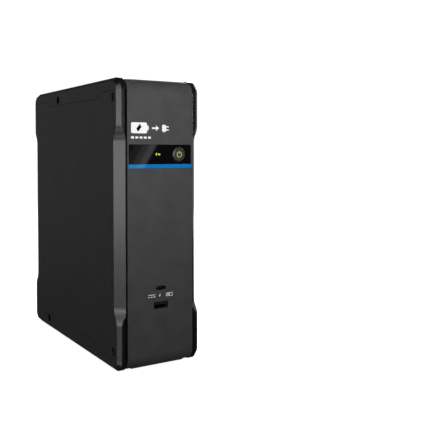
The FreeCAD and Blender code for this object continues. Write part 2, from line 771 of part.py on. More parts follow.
panel_half = f"({BAND} - panel_side_border - fit_gap)"
panel_up = ("panel_border + fit_gap", "case_height - panel_border - fit_gap")
flange_half = f"({BAND} - panel_side_border + panel_flange)"
flange_up = ("panel_border - panel_flange", "case_height - panel_border + panel_flange")
OUTLET_UPS = [f"(outlet_top - {i}*outlet_pitch)" for i in range(4)]
CUP_WIDE = "(island_wide/2 + trench)"
CUP_HIGH = "(island_high/2 + trench)"
SKIN = "1.2"
CLEAR = "0.2"

panel = Body("rear_panel_body", "y")
panel.pad((PANEL_BACK, PANEL_FACE), rectangle((f"-{panel_half}", panel_half), panel_up))
panel.pad(
    (f"{PANEL_BACK} - panel_flange_thick", PANEL_BACK),
    rectangle((f"-{flange_half}", flange_half), flange_up),
)
through = (f"{PANEL_BACK} - panel_flange_thick", PANEL_FACE)
for up in OUTLET_UPS:
    across = (f"-({CUP_WIDE} + {SKIN} + {CLEAR})", f"{CUP_WIDE} + {SKIN} + {CLEAR}")
    tall = (f"{up} - {CUP_HIGH} - {SKIN} - {CLEAR}", f"{up} + {CUP_HIGH} + {SKIN} + {CLEAR}")
    panel.pocket(through, rectangle(across, tall))
inlet_half = f"(inlet_wide/2 + inlet_wall + {CLEAR})"
inlet_tall = f"(inlet_high/2 + inlet_wall + {CLEAR})"
panel.pocket(
    through,
    rectangle((f"-{inlet_half}", inlet_half), (f"inlet_up - {inlet_tall}", f"inlet_up + {inlet_tall}")),
)
panel.pocket(through, disc("breaker_across", "breaker_up", f"breaker_bush + {CLEAR}"))
for side in ("-1", "1"):
    panel.pocket(through, disc(f"{side}*inlet_screw_pitch/2", "inlet_up", "1.25"))
jack_across = (f"jack_across - jack_wide - {CLEAR}", f"jack_across + jack_wide + {CLEAR}")
jack_tall = (f"jack_up - jack_high/2 - {CLEAR}", f"jack_up + jack_high/2 + {CLEAR}")
panel.pocket(through, rectangle(jack_across, jack_tall))
usb_b_across = (f"usb_b_across - 6 - {CLEAR}", f"usb_b_across + 6 + {CLEAR}")
panel.pocket(through, rectangle(usb_b_across, (f"jack_up - 5.5 - {CLEAR}", f"jack_up + 5.5 + {CLEAR}")))
vents = [
    stadium(("-vent_wide/2", "vent_wide/2"), f"vent_up + {i}*vent_pitch", "vent_high")
    for i in range(4)
]
panel.pocket(through, *vents)
DATA_BOARD = f"({PANEL_FACE} + 0.4 - jack_deep)"
data_posts = [
    rod("data_post", "y", (DATA_BOARD, f"{PANEL_BACK} - 1"), (x, f"jack_up + {z}"), "1.4")
    for x in ("-26", "26.2")
    for z in ("-6", "6")
]
name_node("rear_panel", fuse("rear_panel_solid", panel.body, *data_posts))

# ---------------------------------------------------------------- front bezel, window, stripe and button

BEZEL_SIDE = f"({BAND} - fit_gap)"
across_bezel = (f"-{BEZEL_SIDE}", BEZEL_SIDE)
shell = Body("bezel_block", "x")
shell.pad(across_bezel, rectangle((FRONT, inside("bezel_wrap")), ("band_inset", BAND_TOP)))
shell.dress("Fillet", "bezel_radius", lambda p, d: abs(d.x) > 0.999 and p.y < size(FRONT) + 1)
scoop = Body("bezel_scoop", "x")
scoop.pad(
    (f"-{BAND} - 1", f"{BAND} + 1"),
    rectangle(
        (inside("bezel_wall"), inside("bezel_wrap + 9")),
        ("band_inset + bezel_wall", f"{BAND_TOP} - bezel_wall"),
    ),
)
scoop.dress("Fillet", "bezel_radius - bezel_wall", lambda p, d: abs(d.x) > 0.999 and p.y < size(FRONT) + 5)
skin = cut("bezel_skin", shell.body, scoop.body)

WINDOW_BACK = inside("window_thick + 0.2")
WINDOW_ACROSS = ("-window_width/2", "window_width/2")
STRIPE_ACROSS = (f"stripe_inset - {BEZEL_SIDE}", f"{BEZEL_SIDE} - stripe_inset")
BUTTON_AT = ("button_across", "button_up")
bezel_adds = []
for side in ("-1", "1"):
    edges = sorted((f"{side}*{BEZEL_SIDE}", f"{side}*({BEZEL_SIDE} - 2)"), key=size)
    cheek = (inside("bezel_wall - 0.5"), inside("bezel_wall + bezel_side"))
    bezel_adds.append(box("bezel_cheek", edges, cheek, ("30", "case_height - 30")))
tongue_along = (inside("bezel_wall + 3"), inside("bezel_wrap + 6"))
tongue_across = (f"-{BAND} + 6", f"{WEB} - 5")
tongue_high = (f"{BAND_TOP} - wall - 1.8", f"{BAND_TOP} - wall")
tongue_low = ("band_inset + wall", "band_inset + wall + 1.8")
bezel_adds += [box("bezel_tongue", tongue_across, tongue_along, up) for up in (tongue_high, tongue_low)]
root_high = (f"{BAND_TOP} - wall - 1.8", f"{BAND_TOP} - 0.5")
root_low = ("band_inset + 0.5", "band_inset + wall + 1.8")
root_along = (inside("bezel_wall + 3"), inside("bezel_wrap - 2"))
bezel_adds += [box("tongue_root", tongue_across, root_along, up) for up in (root_high, root_low)]
DISPLAY_POSTS = [(x, up) for x in ("-27", "27") for up in ("button_up - 8.6", "button_up + 10.4")]
USB_POSTS = [(x, up) for x in ("-16", "16") for up in ("usb_up - 8", "usb_c_up + 8")]
pillars = [(place, DISPLAY_FACE) for place in DISPLAY_POSTS]
pillars += [(place, USB_BOARD_FACE) for place in USB_POSTS]
for (across, up), back in pillars:
    bezel_adds.append(rod("board_pillar", "y", (inside("bezel_wall - 0.5"), back), (across, up), "2.2"))


def at_window_top(place, direction):
    """The edges that run through the window's two upper corners."""
    return abs(direction.y) > 0.999 and place.z > size("window_high") - 0.1


window_seat = Body("window_seat", "y")
window_seat.pad((f"{FRONT} - 1", WINDOW_BACK), rectangle(WINDOW_ACROSS, ("stripe_low", "window_high")))
window_seat.dress("Fillet", "window_corner", at_window_top)
bezel_cuts = [
    window_seat.body,
    box("stripe_seat", STRIPE_ACROSS, (f"{FRONT} - 1", WINDOW_BACK), ("stripe_low", "window_low")),
    box(
        "light_slot",
        ("status_across - 5", "status_across + 5"),
        (FRONT, inside("bezel_wall + 1")),
        ("button_up - 4.5", "button_up + 4.5"),
    ),
    rod(
        "button_hole",
        "y",
        (f"{FRONT} - 1", inside("bezel_wall + 1")),
        BUTTON_AT,
        "button_radius + button_gap",
    ),
]
usb_across = ("-usb_hole_wide/2", "usb_hole_wide/2")
usb_tall = ("usb_up - usb_hole_high/2", "usb_up + usb_hole_high/2")
bezel_cuts.append(box("usb_hole", usb_across, (f"{FRONT} - 1", inside("bezel_wall + 1")), usb_tall))
usb_c_cut = Body("usb_c_cut", "y")
usb_c_cut.pad(
    (f"{FRONT} - 1", inside("bezel_wall + 1")),
    stadium(("-usb_c_hole_wide/2", "usb_c_hole_wide/2"), "usb_c_up", "usb_c_hole_high"),
)
bezel_cuts.append(usb_c_cut.body)
name_node("front_bezel", cut("bezel_solid", fuse("bezel_raw", skin, *bezel_adds), *bezel_cuts))


def flat_shape(name, outline, centre, ends):
    """A plate along Y of an outline given as (across, up) points about a centre."""
    y = size(ends[0])
    across, up = (size(c) for c in centre)
    points = [V(across + a, y, up + b) for a, b in outline]
    face = Part.Face(Part.makePolygon(points + points[:1]))
    return own_shape(name, face.extrude(V(0, size(ends[1]) - y, 0)))


BOLT = [(0.22, 1.5), (-1.12, -0.26), (-0.19, -0.26), (-0.45, -1.5), (0.97, 0.37), (0.07, 0.37), (0.67, 1.5)]
glow = (inside("0.2"), WINDOW_BACK)
bolt = flat_shape("status_bolt", BOLT, ("status_across - 1.4", "button_up"), glow)
plug_body = box(
    "plug_body",
    ("status_across + 0.5", "status_across + 1.8"),
    glow,
    ("button_up - 0.8", "button_up + 0.8"),
)
plug_pins = [
    box(
        "plug_pin",
        ("status_across + 1.7", "status_across + 2.6"),
        glow,
        (f"button_up + {z} - 0.16", f"button_up + {z} + 0.16"),
    )
    for z in ("-0.45", "0.45")
]
plug_tail = box(
    "plug_tail",
    ("status_across - 0.1", "status_across + 0.6"),
    glow,
    ("button_up - 0.16", "button_up + 0.16"),
)
plug = fuse("status_plug", plug_body, plug_tail, *plug_pins)
name_node("status_symbol", fuse("status_pair", bolt, plug))

window = Body("window_body", "y")
window.pad(glow, rectangle(WINDOW_ACROSS, ("window_low", "window_high")))
window.pocket(glow, disc(*BUTTON_AT, "button_radius + button_gap"))
window.dress("Fillet", "window_corner", at_window_top)
name_node("display_window", cut("window_solid", window.body, nodes["status_symbol"]))

stripe = Body("stripe_body", "y")
stripe.pad((inside("0.1"), WINDOW_BACK), rectangle(STRIPE_ACROSS, ("stripe_low", "window_low")))
name_node("accent_strip", stripe.body)

cap = Body("button_cap", "y")
cap.pad((FRONT, inside("bezel_wall + 0.6")), disc(*BUTTON_AT, "button_radius"))
cap.dress("Fillet", "1.6", lambda p, d: abs(p.y - size(FRONT)) < 1e-6)
flange = rod(
    "button_flange",
    "y",
    (inside("bezel_wall"), inside("bezel_wall + 1.2")),
    BUTTON_AT,
    "button_radius + 1.2",
)
PLUNGER_END = inside("bezel_wall + 2.6")
plunger = rod("button_plunger", "y", (inside("bezel_wall + 1"), PLUNGER_END), BUTTON_AT, "2")
mark_ends = (FRONT, inside("0.6"))


def power_mark():
    """A ring open at the top with a bar through the gap."""
    at = V(size("button_across"), size(mark_ends[0]), size("button_up"))
    deep = size(mark_ends[1]) - size(mark_ends[0])
    outer = Part.makeCylinder(2.6, deep, at, V(0, 1, 0))
    inner = Part.makeCylinder(2.05, deep, at, V(0, 1, 0))
    gap = Part.makeBox(2.2, deep, 4, at + V(-1.1, 0, 0))
    bar = Part.makeBox(0.55, deep, 2.6, at + V(-0.275, 0, 0.5))
    return Part.makeCompound([outer.cut(inner).cut(gap), bar])


name_node("power_symbol", own_shape("power_mark", power_mark()))
name_node(
    "power_button",
    cut("button_solid", fuse("button_raw", cap.body, flange, plunger), nodes["power_symbol"]),
)

# ---------------------------------------------------------------- boards and ports behind the bezel

BOARD_BACK = f"({DISPLAY_FACE} + board_thick)"
display = Body("display_body", "y")
display.pad((DISPLAY_FACE, BOARD_BACK), rectangle(("-30", "30"), ("button_up - 11.5", "button_up + 13.5")))
name_node("display_board", display.body)

SWITCH_FRONT = f"({PLUNGER_END} + button_travel_room)"
switch_block = box(
    "switch_block",
    ("button_across - 3", "button_across + 3"),
    (f"{SWITCH_FRONT} + 0.8", DISPLAY_FACE),
    ("button_up - 3", "button_up + 3"),
)
switch_nub = rod("switch_nub", "y", (SWITCH_FRONT, f"{SWITCH_FRONT} + 1.2"), BUTTON_AT, "1.7")
name_node("tact_switch", fuse("switch_solid", switch_block, switch_nub))

led_places = [("status_across - 2", "button_up"), ("status_across + 2", "button_up")]
led_places += [("button_across + 7", "button_up"), ("button_across - 7", "button_up")]
leds = [
    box(
        "led",
        (f"{x} - 1.4", f"{x} + 1.4"),
        (f"{DISPLAY_FACE} - 0.9", DISPLAY_FACE),
        (f"{z} - 1", f"{z} + 1"),
    )
    for x, z in led_places
]
name_node("display_leds", fuse("led_group", *leds))

USB_BACK = f"({USB_BOARD_FACE} + board_thick)"
usb_plate = Body("usb_board_body", "y")
usb_plate.pad((USB_BOARD_FACE, USB_BACK), rectangle(("-20", "20"), ("usb_up - 12", "usb_c_up + 12")))
name_node("usb_board", usb_plate.body)

USB_ENDS = (inside("usb_set_back"), USB_BOARD_FACE)
can = Body("usb_a_can", "y")
can.pad(
    USB_ENDS,
    rectangle(
        ("-usb_shell_wide/2", "usb_shell_wide/2"),
        ("usb_up - usb_shell_high/2", "usb_up + usb_shell_high/2"),
    ),
)
can_room = (f"{USB_ENDS[0]}", f"{USB_BOARD_FACE} - 1")
inner = ("-usb_shell_wide/2 + 0.4", "usb_shell_wide/2 - 0.4")
can.pocket(
    can_room, rectangle(inner, ("usb_up - usb_shell_high/2 + 0.4", "usb_up + usb_shell_high/2 - 0.4"))
)
name_node("usb_a_shell", can.body)
tongue_z = ("usb_up + 0.1", "usb_up + 2.0")
tongue_y = (inside("usb_set_back + 1"), f"{USB_BOARD_FACE} - 1")
tongue_a = box("usb_a_bar", ("-5.6", "5.6"), tongue_y, tongue_z)
root_a = box(
    "usb_a_root",
    inner,
    (f"{USB_BOARD_FACE} - 4", f"{USB_BOARD_FACE} - 1"),
    ("usb_up - usb_shell_high/2 + 0.4", "usb_up + usb_shell_high/2 - 0.4"),
)
name_node("usb_a_tongue", fuse("usb_a_tongue_solid", tongue_a, root_a))
strips = [
    box(
        "usb_a_strip",
        (f"{x} - 0.5", f"{x} + 0.5"),
        (inside("usb_set_back + 2"), inside("usb_set_back + 9")),
        ("usb_up - 0.1", "usb_up + 0.1"),
    )
    for x in ("-3.5", "-1", "1", "3.5")
]
name_node("usb_a_contacts", fuse("usb_a_strips", *strips))

C_WIDE, C_HIGH = "usb_c_shell_wide", "usb_c_shell_high"
c_can = Body("usb_c_can", "y")
c_can.pad(USB_ENDS, stadium((f"-{C_WIDE}/2", f"{C_WIDE}/2"), "usb_c_up", C_HIGH))
c_can.pocket(
    can_room, stadium((f"-{C_WIDE}/2 + 0.3", f"{C_WIDE}/2 - 0.3"), "usb_c_up", f"({C_HIGH} - 0.6)")
)
name_node("usb_c_shell", c_can.body)
c_bar = box(
    "usb_c_bar",
    ("-3.3", "3.3"),
    (inside("usb_set_back + 0.8"), f"{USB_BOARD_FACE} - 1"),
    ("usb_c_up - 0.35", "usb_c_up + 0.35"),
)
c_root = Body("usb_c_root", "y")
c_root.pad(
    (f"{USB_BOARD_FACE} - 4", f"{USB_BOARD_FACE} - 1"),
    stadium((f"-{C_WIDE}/2 + 0.3", f"{C_WIDE}/2 - 0.3"), "usb_c_up", f"({C_HIGH} - 0.6)"),
)
name_node("usb_c_tongue", fuse("usb_c_tongue_solid", c_bar, c_root.body))

# ---------------------------------------------------------------- battery, its leads and the shelf above

battery_across = (BATTERY_LEFT, f"{BATTERY_LEFT} + battery_wide")
battery_along = (inside("battery_in"), inside("battery_in + battery_long"))
case_up = ("cradle_top", "cradle_top + battery_high")
jar = Body("battery_jar", "z")
jar.pad(case_up, rectangle(battery_across, battery_along))
jar.dress("Fillet", "2", lies_along("z"))
name_node("battery_case", jar.body)

LID_INSET = "0.8"
lid = Body("battery_lid_body", "z")
lid.pad(
    (case_up[1], BATTERY_TOP),
    rectangle(
        (f"{battery_across[0]} + {LID_INSET}", f"{battery_across[1]} - {LID_INSET}"),
        (f"{battery_along[0]} + {LID_INSET}", f"{battery_along[1]} - {LID_INSET}"),
    ),
)
lid.dress("Fillet", "2", lies_along("z"))
for i in range(6):
    vent_at = (f"{BATTERY_LEFT} + battery_wide/2", f"{battery_along[0]} + battery_long*({i} + 1)/7")
    lid.pocket((f"{BATTERY_TOP} - 1", BATTERY_TOP), disc(*vent_at, "5"))
name_node("battery_lid", lid.body)

TERMINALS = {"positive": f"({BATTERY_LEFT} + 12)", "negative": f"({BATTERY_LEFT} + battery_wide - 12)"}
TERMINAL_IN = "battery_in + 10"
tabs = [
    box(
        side + "_tab",
        (f"{x} - tab_plate/2", f"{x} + tab_plate/2"),
        (inside(TERMINAL_IN), inside(f"{TERMINAL_IN} + tab_wide")),
        (BATTERY_TOP, f"{BATTERY_TOP} + tab_high"),
    )
    for side, x in TERMINALS.items()
]
name_node("battery_terminals", fuse("battery_tabs", *tabs))

SLEEVE_BACK = f"{TERMINAL_IN} + tab_wide + 3"
LEAD_UP = f"({BATTERY_TOP} + 3.7)"
sleeves = []
for side, x in TERMINALS.items():
    sleeve = box(
        side + "_sleeve_block",
        (f"{x} - 2.6", f"{x} + 2.6"),
        (inside(f"{TERMINAL_IN} - 1.2"), inside(SLEEVE_BACK)),
        (f"{BATTERY_TOP} + 0.4", f"{BATTERY_TOP} + 7.2"),
    )
    sleeves.append(cut(side + "_sleeve", sleeve, nodes["battery_terminals"]))
name_node("terminal_sleeves", fuse("sleeve_pair", *sleeves))

RISE_IN = f"(battery_in + battery_long + 7)"
LEAD_TOP = {"positive": "(main_board_up + 28)", "negative": "(main_board_up + 16)"}
for side, x in TERMINALS.items():
    bend_x, end_x = size(x), size(BOARD_FACE)
    start_y, rise_y = size(inside(SLEEVE_BACK)), size(inside(RISE_IN))
    low_z, top_z = size(LEAD_UP), size(LEAD_TOP[side])
    path = [
        (bend_x, start_y, low_z), (bend_x, rise_y, low_z), (bend_x, rise_y, top_z), (end_x, rise_y, top_z)
    ]
    name_node(
        side + "_lead", own_shape(side + "_tube", wire_tube(path, size("lead_radius"), size("lead_bend")))
    )

foam = [
    box(
        "foam",
        (f"{WEB} - foam_thick", WEB),
        (inside("battery_in + 10"), inside("battery_in + 50")),
        (up, f"{up} + 18"),
    )
    for up in ("(cradle_top + 12)", "(cradle_top + 60)")
]
foam += [
    box(
        "foam",
        (f"{WEB} - foam_thick", WEB),
        (inside("battery_in + 96"), inside("battery_in + 136")),
        (up, f"{up} + 18"),
    )
    for up in ("(cradle_top + 12)", "(cradle_top + 60)")
]
name_node("foam_pads", fuse("foam_group", *foam))

SHELF_SCREWS = [("core_in - 5", "-3"), ("core_in + core_long + 5", "-3")]
shelf = Body("shelf_body", "z")
shelf.pad(("shelf_up", SHELF_TOP), rectangle(SHELF_ACROSS, SHELF_ALONG))
shelf.pocket(("shelf_up", SHELF_TOP), *[disc(x, inside(deep), "1.6") for deep, x in SHELF_SCREWS])
name_node("battery_shelf", shelf.body)

# ---------------------------------------------------------------- transformer

CORE_MID = "-3"
core_across = (f"{CORE_MID} - core_stack/2", f"{CORE_MID} + core_stack/2")
core_along = (inside("core_in"), inside("core_in + core_long"))
CORE_LOW = f"({SHELF_TOP} + bracket_thick)"
CORE_AXIS = f"({CORE_LOW} + core_high/2)"
core = Body("core_body", "x")
core.pad(core_across, rectangle(core_along, (CORE_LOW, f"{CORE_LOW} + core_high")))
window_along = (f"{core_along[0]} + core_leg", f"{core_along[1]} - core_leg")
for low, high in (
    (f"{CORE_AXIS} + core_leg", f"{CORE_AXIS} + 2*core_leg"),
    (f"{CORE_AXIS} - 2*core_leg", f"{CORE_AXIS} - core_leg"),
):
    core.pocket(core_across, rectangle(window_along, (low, high)))
name_node("transformer_core", core.body)


def around_leg(name, along, grow, reach, up_reach):
    """A block around the core's middle leg: grow clears the leg, and the reaches are its own thickness."""
    outer = box(
        name + "_outer",
        (f"{core_across[0]} - {grow} - ({reach})", f"{core_across[1]} + {grow} + {reach}"),
        along,
        (
            f"{CORE_AXIS} - core_leg - {grow} - ({up_reach})",
            f"{CORE_AXIS} + core_leg + {grow} + {up_reach}",
        ),
    )
    inner = box(
        name + "_inner",
        (f"{core_across[0]} - {grow}", f"{core_across[1]} + {grow}"),
        (f"{along[0]} - 1", f"{along[1]} + 1"),
        (f"{CORE_AXIS} - core_leg - {grow}", f"{CORE_AXIS} + core_leg + {grow}"),
    )
    return cut(name, outer, inner)


cheeks = [
    around_leg("bobbin_flange", (f"{a}", f"{a} + 1.5"), "0", "coil_over", "core_leg - 0.2")
    for a in (window_along[0], f"({window_along[1]} - 1.5)")
]
sleeve_along = (f"{window_along[0]} + 0.5", f"{window_along[1]} - 0.5")
name_node(
    "transformer_bobbin",
    fuse("bobbin_solid", around_leg("bobbin_tube", sleeve_along, "0", "1.2", "1.2"), *cheeks),
)
coil_along = (f"{window_along[0]} + 1.5", f"{window_along[1]} - 1.5")
coil = around_leg("coil_block", coil_along, "1.2", "coil_over - 2", "core_leg - 2.2")


def on_coil_corner(point, direction):
    """The coil's four outer edges along Y."""
    return abs(direction.y) > 0.999 and abs(point.x - size(CORE_MID)) > size("core_stack/2 + 2")


name_node("transformer_coil", soften("coil_soft", "Fillet", coil, "4", on_coil_corner))

STRAP = ("-15", "9")
strap_along = (f"{core_along[0]} - bracket_thick", f"{core_along[1]} + bracket_thick")
strap_out = box("strap_outer", STRAP, strap_along, (SHELF_TOP, f"{CORE_LOW} + core_high + bracket_thick"))
strap_in = box("strap_inner", ("-16", "10"), core_along, (CORE_LOW, f"{CORE_LOW} + core_high"))
feet = box(
    "strap_feet", STRAP, (inside("core_in - 10"), inside("core_in + core_long + 10")), (SHELF_TOP, CORE_LOW)
)
sole = box("strap_sole", core_across, core_along, (SHELF_TOP, CORE_LOW))
foot_holes = [
    rod(
        "foot_hole", "z", (f"{SHELF_TOP} - 1", f"{CORE_LOW} + 1"), (x, inside(deep)), "1.6"
    ) for deep, x in SHELF_SCREWS
]
strap = fuse("strap_raw", cut("strap_loop", strap_out, strap_in), feet, sole)
name_node("transformer_bracket", cut("strap_solid", strap, *foot_holes))

shelf_screws = []
for deep, x in SHELF_SCREWS:
    at = (x, inside(deep))
    shelf_screws.append(rod("foot_screw_head", "z", (CORE_LOW, f"{CORE_LOW} + 2"), at, "3"))
    shelf_screws.append(rod("foot_screw_shank", "z", ("shelf_up - 2", f"{CORE_LOW} + 1"), at, "1.6"))
name_node("transformer_screws", fuse("foot_screws", *shelf_screws))

# ---------------------------------------------------------------- main board, on posts of the casing's web

BOARD_BACKING = f"({BOARD_FACE} + board_thick)"
board = Body("main_board_body", "x")
board_along = (inside("main_board_in"), inside("main_board_in + main_board_long"))
board.pad(
    (BOARD_FACE, BOARD_BACKING),
    rectangle(board_along, ("main_board_up", "main_board_up + main_board_high")),
)
board.pocket((BOARD_FACE, BOARD_BACKING), *[disc(inside(deep), up, "1.2") for deep, up in STAND_BOARD])
name_node("main_board", board.body)

heads = []
for deep, up in STAND_BOARD:
    heads.append(
        rod("board_screw_head", "x", (f"{BOARD_FACE} - 1.8", BOARD_FACE), (inside(deep), up), "2.6")
    )
    heads.append(
        rod("board_screw_shank", "x", (f"{BOARD_FACE} - 1", f"{WEB} + 1"), (inside(deep), up), "1.2")
    )
name_node("board_screws", fuse("board_screw_group", *heads))


def on_board(name, deep, up, long, high, tall):
    """A block standing tall off the board's face, from the depth and height given within the board."""
    along = (inside(f"main_board_in + {deep}"), inside(f"main_board_in + {deep} + {long}"))
    return box(
        name,
        (f"{BOARD_FACE} - {tall}", BOARD_FACE),
        along,
        (f"main_board_up + {up}", f"main_board_up + {up} + {high}"),
    )


fins = [on_board("sink_base", 14, 14, 3, 62, 34)]
for i in range(5):
    near = f"({BOARD_FACE} - 34 + {7*i})"
    fin_along = (inside("main_board_in + 16"), inside("main_board_in + 30"))
    fins.append(
        box("sink_fin", (near, f"{near} + 1.6"), fin_along, ("main_board_up + 14", "main_board_up + 76"))
    )
name_node("heat_sink", fuse("heat_sink_solid", *fins))

switches = []
for i in range(4):
    low = f"(main_board_up + {17 + 14.5*i})"
    along = (inside("main_board_in + 9.5"), inside("main_board_in + 14"))
    switches.append(
        box("transistor", (f"{BOARD_FACE} - 22", f"{BOARD_FACE} - 6"), along, (low, f"{low} + 10"))
    )
    for z in ("2", "5", "8"):
        leg_up = (f"{low} + {z} - 0.4", f"{low} + {z} + 0.4")
        leg_along = (inside("main_board_in + 11"), inside("main_board_in + 11.6"))
        switches.append(box("transistor_leg", (f"{BOARD_FACE} - 7", BOARD_FACE), leg_along, leg_up))
name_node("power_transistors", fuse("transistor_group", *switches))

cans = [
    rod(
        "capacitor",
        "x",
        (f"{BOARD_FACE} - 30", BOARD_FACE),
        (inside(f"main_board_in + {deep}"), "main_board_up + 66"),
        "8",
    )
    for deep in (41, 59)
]
name_node("filter_capacitors", fuse("capacitor_pair", *cans))

relays = [on_board("relay", 34, up, 28, 13, 16) for up in (5, 21, 37)]
name_node("transfer_relays", fuse("relay_group", *relays))

choke = doc.addObject("Part::Torus", "choke_ring")
choke.Placement = FreeCAD.Placement(V(), TURNS["x"])
choke.Radius1, choke.Radius2 = 8.0, 4.0
bind(choke, "Placement.Base.x", f"{BOARD_FACE} - 4")
bind(choke, "Placement.Base.y", inside("main_board_in + 54"))
bind(choke, "Placement.Base.z", "main_board_up + 92")
choke_legs = on_board("choke_leg", 53, 79.5, 2, 25, 4)
name_node("filter_choke", fuse("choke_solid", choke, choke_legs))

name_node("mains_fuse", on_board("fuse_holder", 70, 70, 8, 25, 9))
buzzer_place = (inside("main_board_in + 34"), "main_board_up + 90")
buzzer = rod("buzzer_can", "x", (f"{BOARD_FACE} - 8", BOARD_FACE), buzzer_place, "6")
buzzer_hole = rod("buzzer_hole", "x", (f"{BOARD_FACE} - 9", f"{BOARD_FACE} - 6"), buzzer_place, "1")
name_node("buzzer", cut("buzzer_solid", buzzer, buzzer_hole))

# ---------------------------------------------------------------- sockets and controls on the rear panel

SOCKET_BACK = f"({PANEL_FACE} - socket_deep)"
FLANGE_FACE = f"({PANEL_FACE} + socket_flange_thick)"
PINS = [(f"{side}*pin_pitch", "-pin_offset") for side in ("-1", "1")] + [("0", "pin_offset")]


def bevelled(name, ends, half_wide, low, high, bevel):
    """A block along Y, centred across, with its two upper edges cut at 45 degrees."""
    block = Body(name, "y")
    block.pad(ends, rectangle((f"-{half_wide}", half_wide), (low, high)))
    block.dress("Chamfer", bevel, lambda p, d: abs(d.y) > 0.999 and p.z > size(high) - 1e-6)
    return block.body


def pin_blocks(name, up, ends, half_wide, half_high):
    return [
        box(
            name,
            (f"{x} - {half_wide}", f"{x} + {half_wide}"),
            ends,
            (f"{up} + {z} - {half_high}", f"{up} + {z} + {half_high}"),
        )
        for x, z in PINS
    ]


contacts = []
for i, up in enumerate(OUTLET_UPS, 1):
    name = f"outlet_{i}"
    block = box(
        name + "_block",
        (f"-({CUP_WIDE} + {SKIN})", f"{CUP_WIDE} + {SKIN}"),
        (SOCKET_BACK, PANEL_FACE),
        (f"{up} - {CUP_HIGH} - {SKIN}", f"{up} + {CUP_HIGH} + {SKIN}"),
    )
    rim = box(
        name + "_rim",
        (f"-({CUP_WIDE} + socket_flange)", f"{CUP_WIDE} + socket_flange"),
        (PANEL_FACE, FLANGE_FACE),
        (f"{up} - {CUP_HIGH} - socket_flange", f"{up} + {CUP_HIGH} + socket_flange"),
    )
    trench_ends = (f"{FLANGE_FACE} - trench_deep", f"{FLANGE_FACE} + 1")
    cup = bevelled(
        name + "_cup", trench_ends, CUP_WIDE, f"{up} - {CUP_HIGH}", f"{up} + {CUP_HIGH}", "socket_bevel"
    )
    island_up = (f"{up} - island_high/2", f"{up} + island_high/2")
    island_ends = (f"{FLANGE_FACE} - trench_deep - 1", FLANGE_FACE)
    island = bevelled(name + "_island", island_ends, "(island_wide/2)", *island_up, "socket_bevel")
    room = cut(name + "_room", cup, island)
    slots = pin_blocks(
        name + "_slot",
        up,
        (f"{SOCKET_BACK} - 1", f"{FLANGE_FACE} + 1"),
        "pin_wide/2 + 0.2",
        "pin_high/2 + 0.3",
    )
    name_node(name, cut(name + "_solid", fuse(name + "_raw", block, rim), room, *slots))
    contact_ends = (f"{SOCKET_BACK} - 7", f"{FLANGE_FACE} - trench_deep + 1")
    contacts += pin_blocks(name + "_contact", up, contact_ends, "pin_wide/2 + 0.2", "pin_high/2 + 0.3")
name_node("outlet_contacts", fuse("contact_group", *contacts))

INLET_FLOOR = f"({FLANGE_FACE} - inlet_deep)"
inlet_block = box(
    "inlet_block",
    ("-(inlet_wide/2 + inlet_wall)", "inlet_wide/2 + inlet_wall"),
    (f"{SOCKET_BACK} + 1", PANEL_FACE),
    ("inlet_up - inlet_high/2 - inlet_wall", "inlet_up + inlet_high/2 + inlet_wall"),
)
inlet_rim = Body("inlet_rim", "y")
inlet_rim.pad(
    (PANEL_FACE, FLANGE_FACE),
    rectangle(
        ("-inlet_flange_wide/2", "inlet_flange_wide/2"),
        ("inlet_up - inlet_high/2 - 3", "inlet_up + inlet_high/2 + 3"),
    ),
)
inlet_rim.dress("Chamfer", "7", lies_along("y"))
inlet_room = bevelled(
    "inlet_room",
    (INLET_FLOOR, f"{FLANGE_FACE} + 1"),
    "(inlet_wide/2)",
    "inlet_up - inlet_high/2",
    "inlet_up + inlet_high/2",
    "socket_bevel",
)
inlet_pins = pin_blocks(
    "inlet_pin", "inlet_up", (f"{SOCKET_BACK} - 6", f"{INLET_FLOOR} + 13"), "pin_wide/2", "pin_high/2"
)
inlet_screw_at = [(f"{side}*inlet_screw_pitch/2", "inlet_up") for side in ("-1", "1")]
inlet_holes = [
    rod("inlet_hole", "y", (f"{PANEL_FACE} - 1", f"{FLANGE_FACE} + 1"), at, "1.25")
    for at in inlet_screw_at
]
inlet_raw = fuse("inlet_raw", inlet_block, inlet_rim.body)
name_node("inlet_pins", fuse("inlet_pin_group", *inlet_pins))
name_node("inlet_socket", cut("inlet_solid", inlet_raw, inlet_room, nodes["inlet_pins"], *inlet_holes))
fasteners = []
for at in inlet_screw_at:
    fasteners.append(rod("inlet_screw_head", "y", (FLANGE_FACE, f"{REAR} - 0.1"), at, "2.5"))
    fasteners.append(
        rod("inlet_screw_shank", "y", (f"{PANEL_BACK} - 5", f"{FLANGE_FACE} + 0.2"), at, "1.25")
    )
name_node("inlet_screws", fuse("inlet_screw_pair", *fasteners))

BREAKER_AT = ("breaker_across", "breaker_up")
BUSH_FACE = f"({REAR} - 0.3)"
BREAKER_BACK = f"({PANEL_BACK} - panel_flange_thick)"
bush = rod("breaker_bush", "y", (f"{BREAKER_BACK} - 1", BUSH_FACE), BREAKER_AT, "breaker_bush")
breaker_block = box(
    "breaker_block",
    ("breaker_across - 7", "breaker_across + 7"),
    (f"{BREAKER_BACK} - 24", BREAKER_BACK),
    ("breaker_up - 15", "breaker_up + 15"),
)
lugs = [
    box(
        "breaker_lug",
        ("breaker_across - 3", "breaker_across + 3"),
        (f"{BREAKER_BACK} - 32", f"{BREAKER_BACK} - 23"),
        (f"breaker_up + {z} - 0.4", f"breaker_up + {z} + 0.4"),
    )
    for z in ("-9", "9")
]
bore = rod(
    "breaker_bore", "y", (f"{BREAKER_BACK} - 8", f"{BUSH_FACE} + 1"), BREAKER_AT, "breaker_button + 0.2"
)
name_node("breaker_body", cut("breaker_solid", fuse("breaker_raw", bush, breaker_block, *lugs), bore))
key = Body("breaker_key", "y")
key.pad((f"{BREAKER_BACK} - 8", REAR), disc(*BREAKER_AT, "breaker_button"))
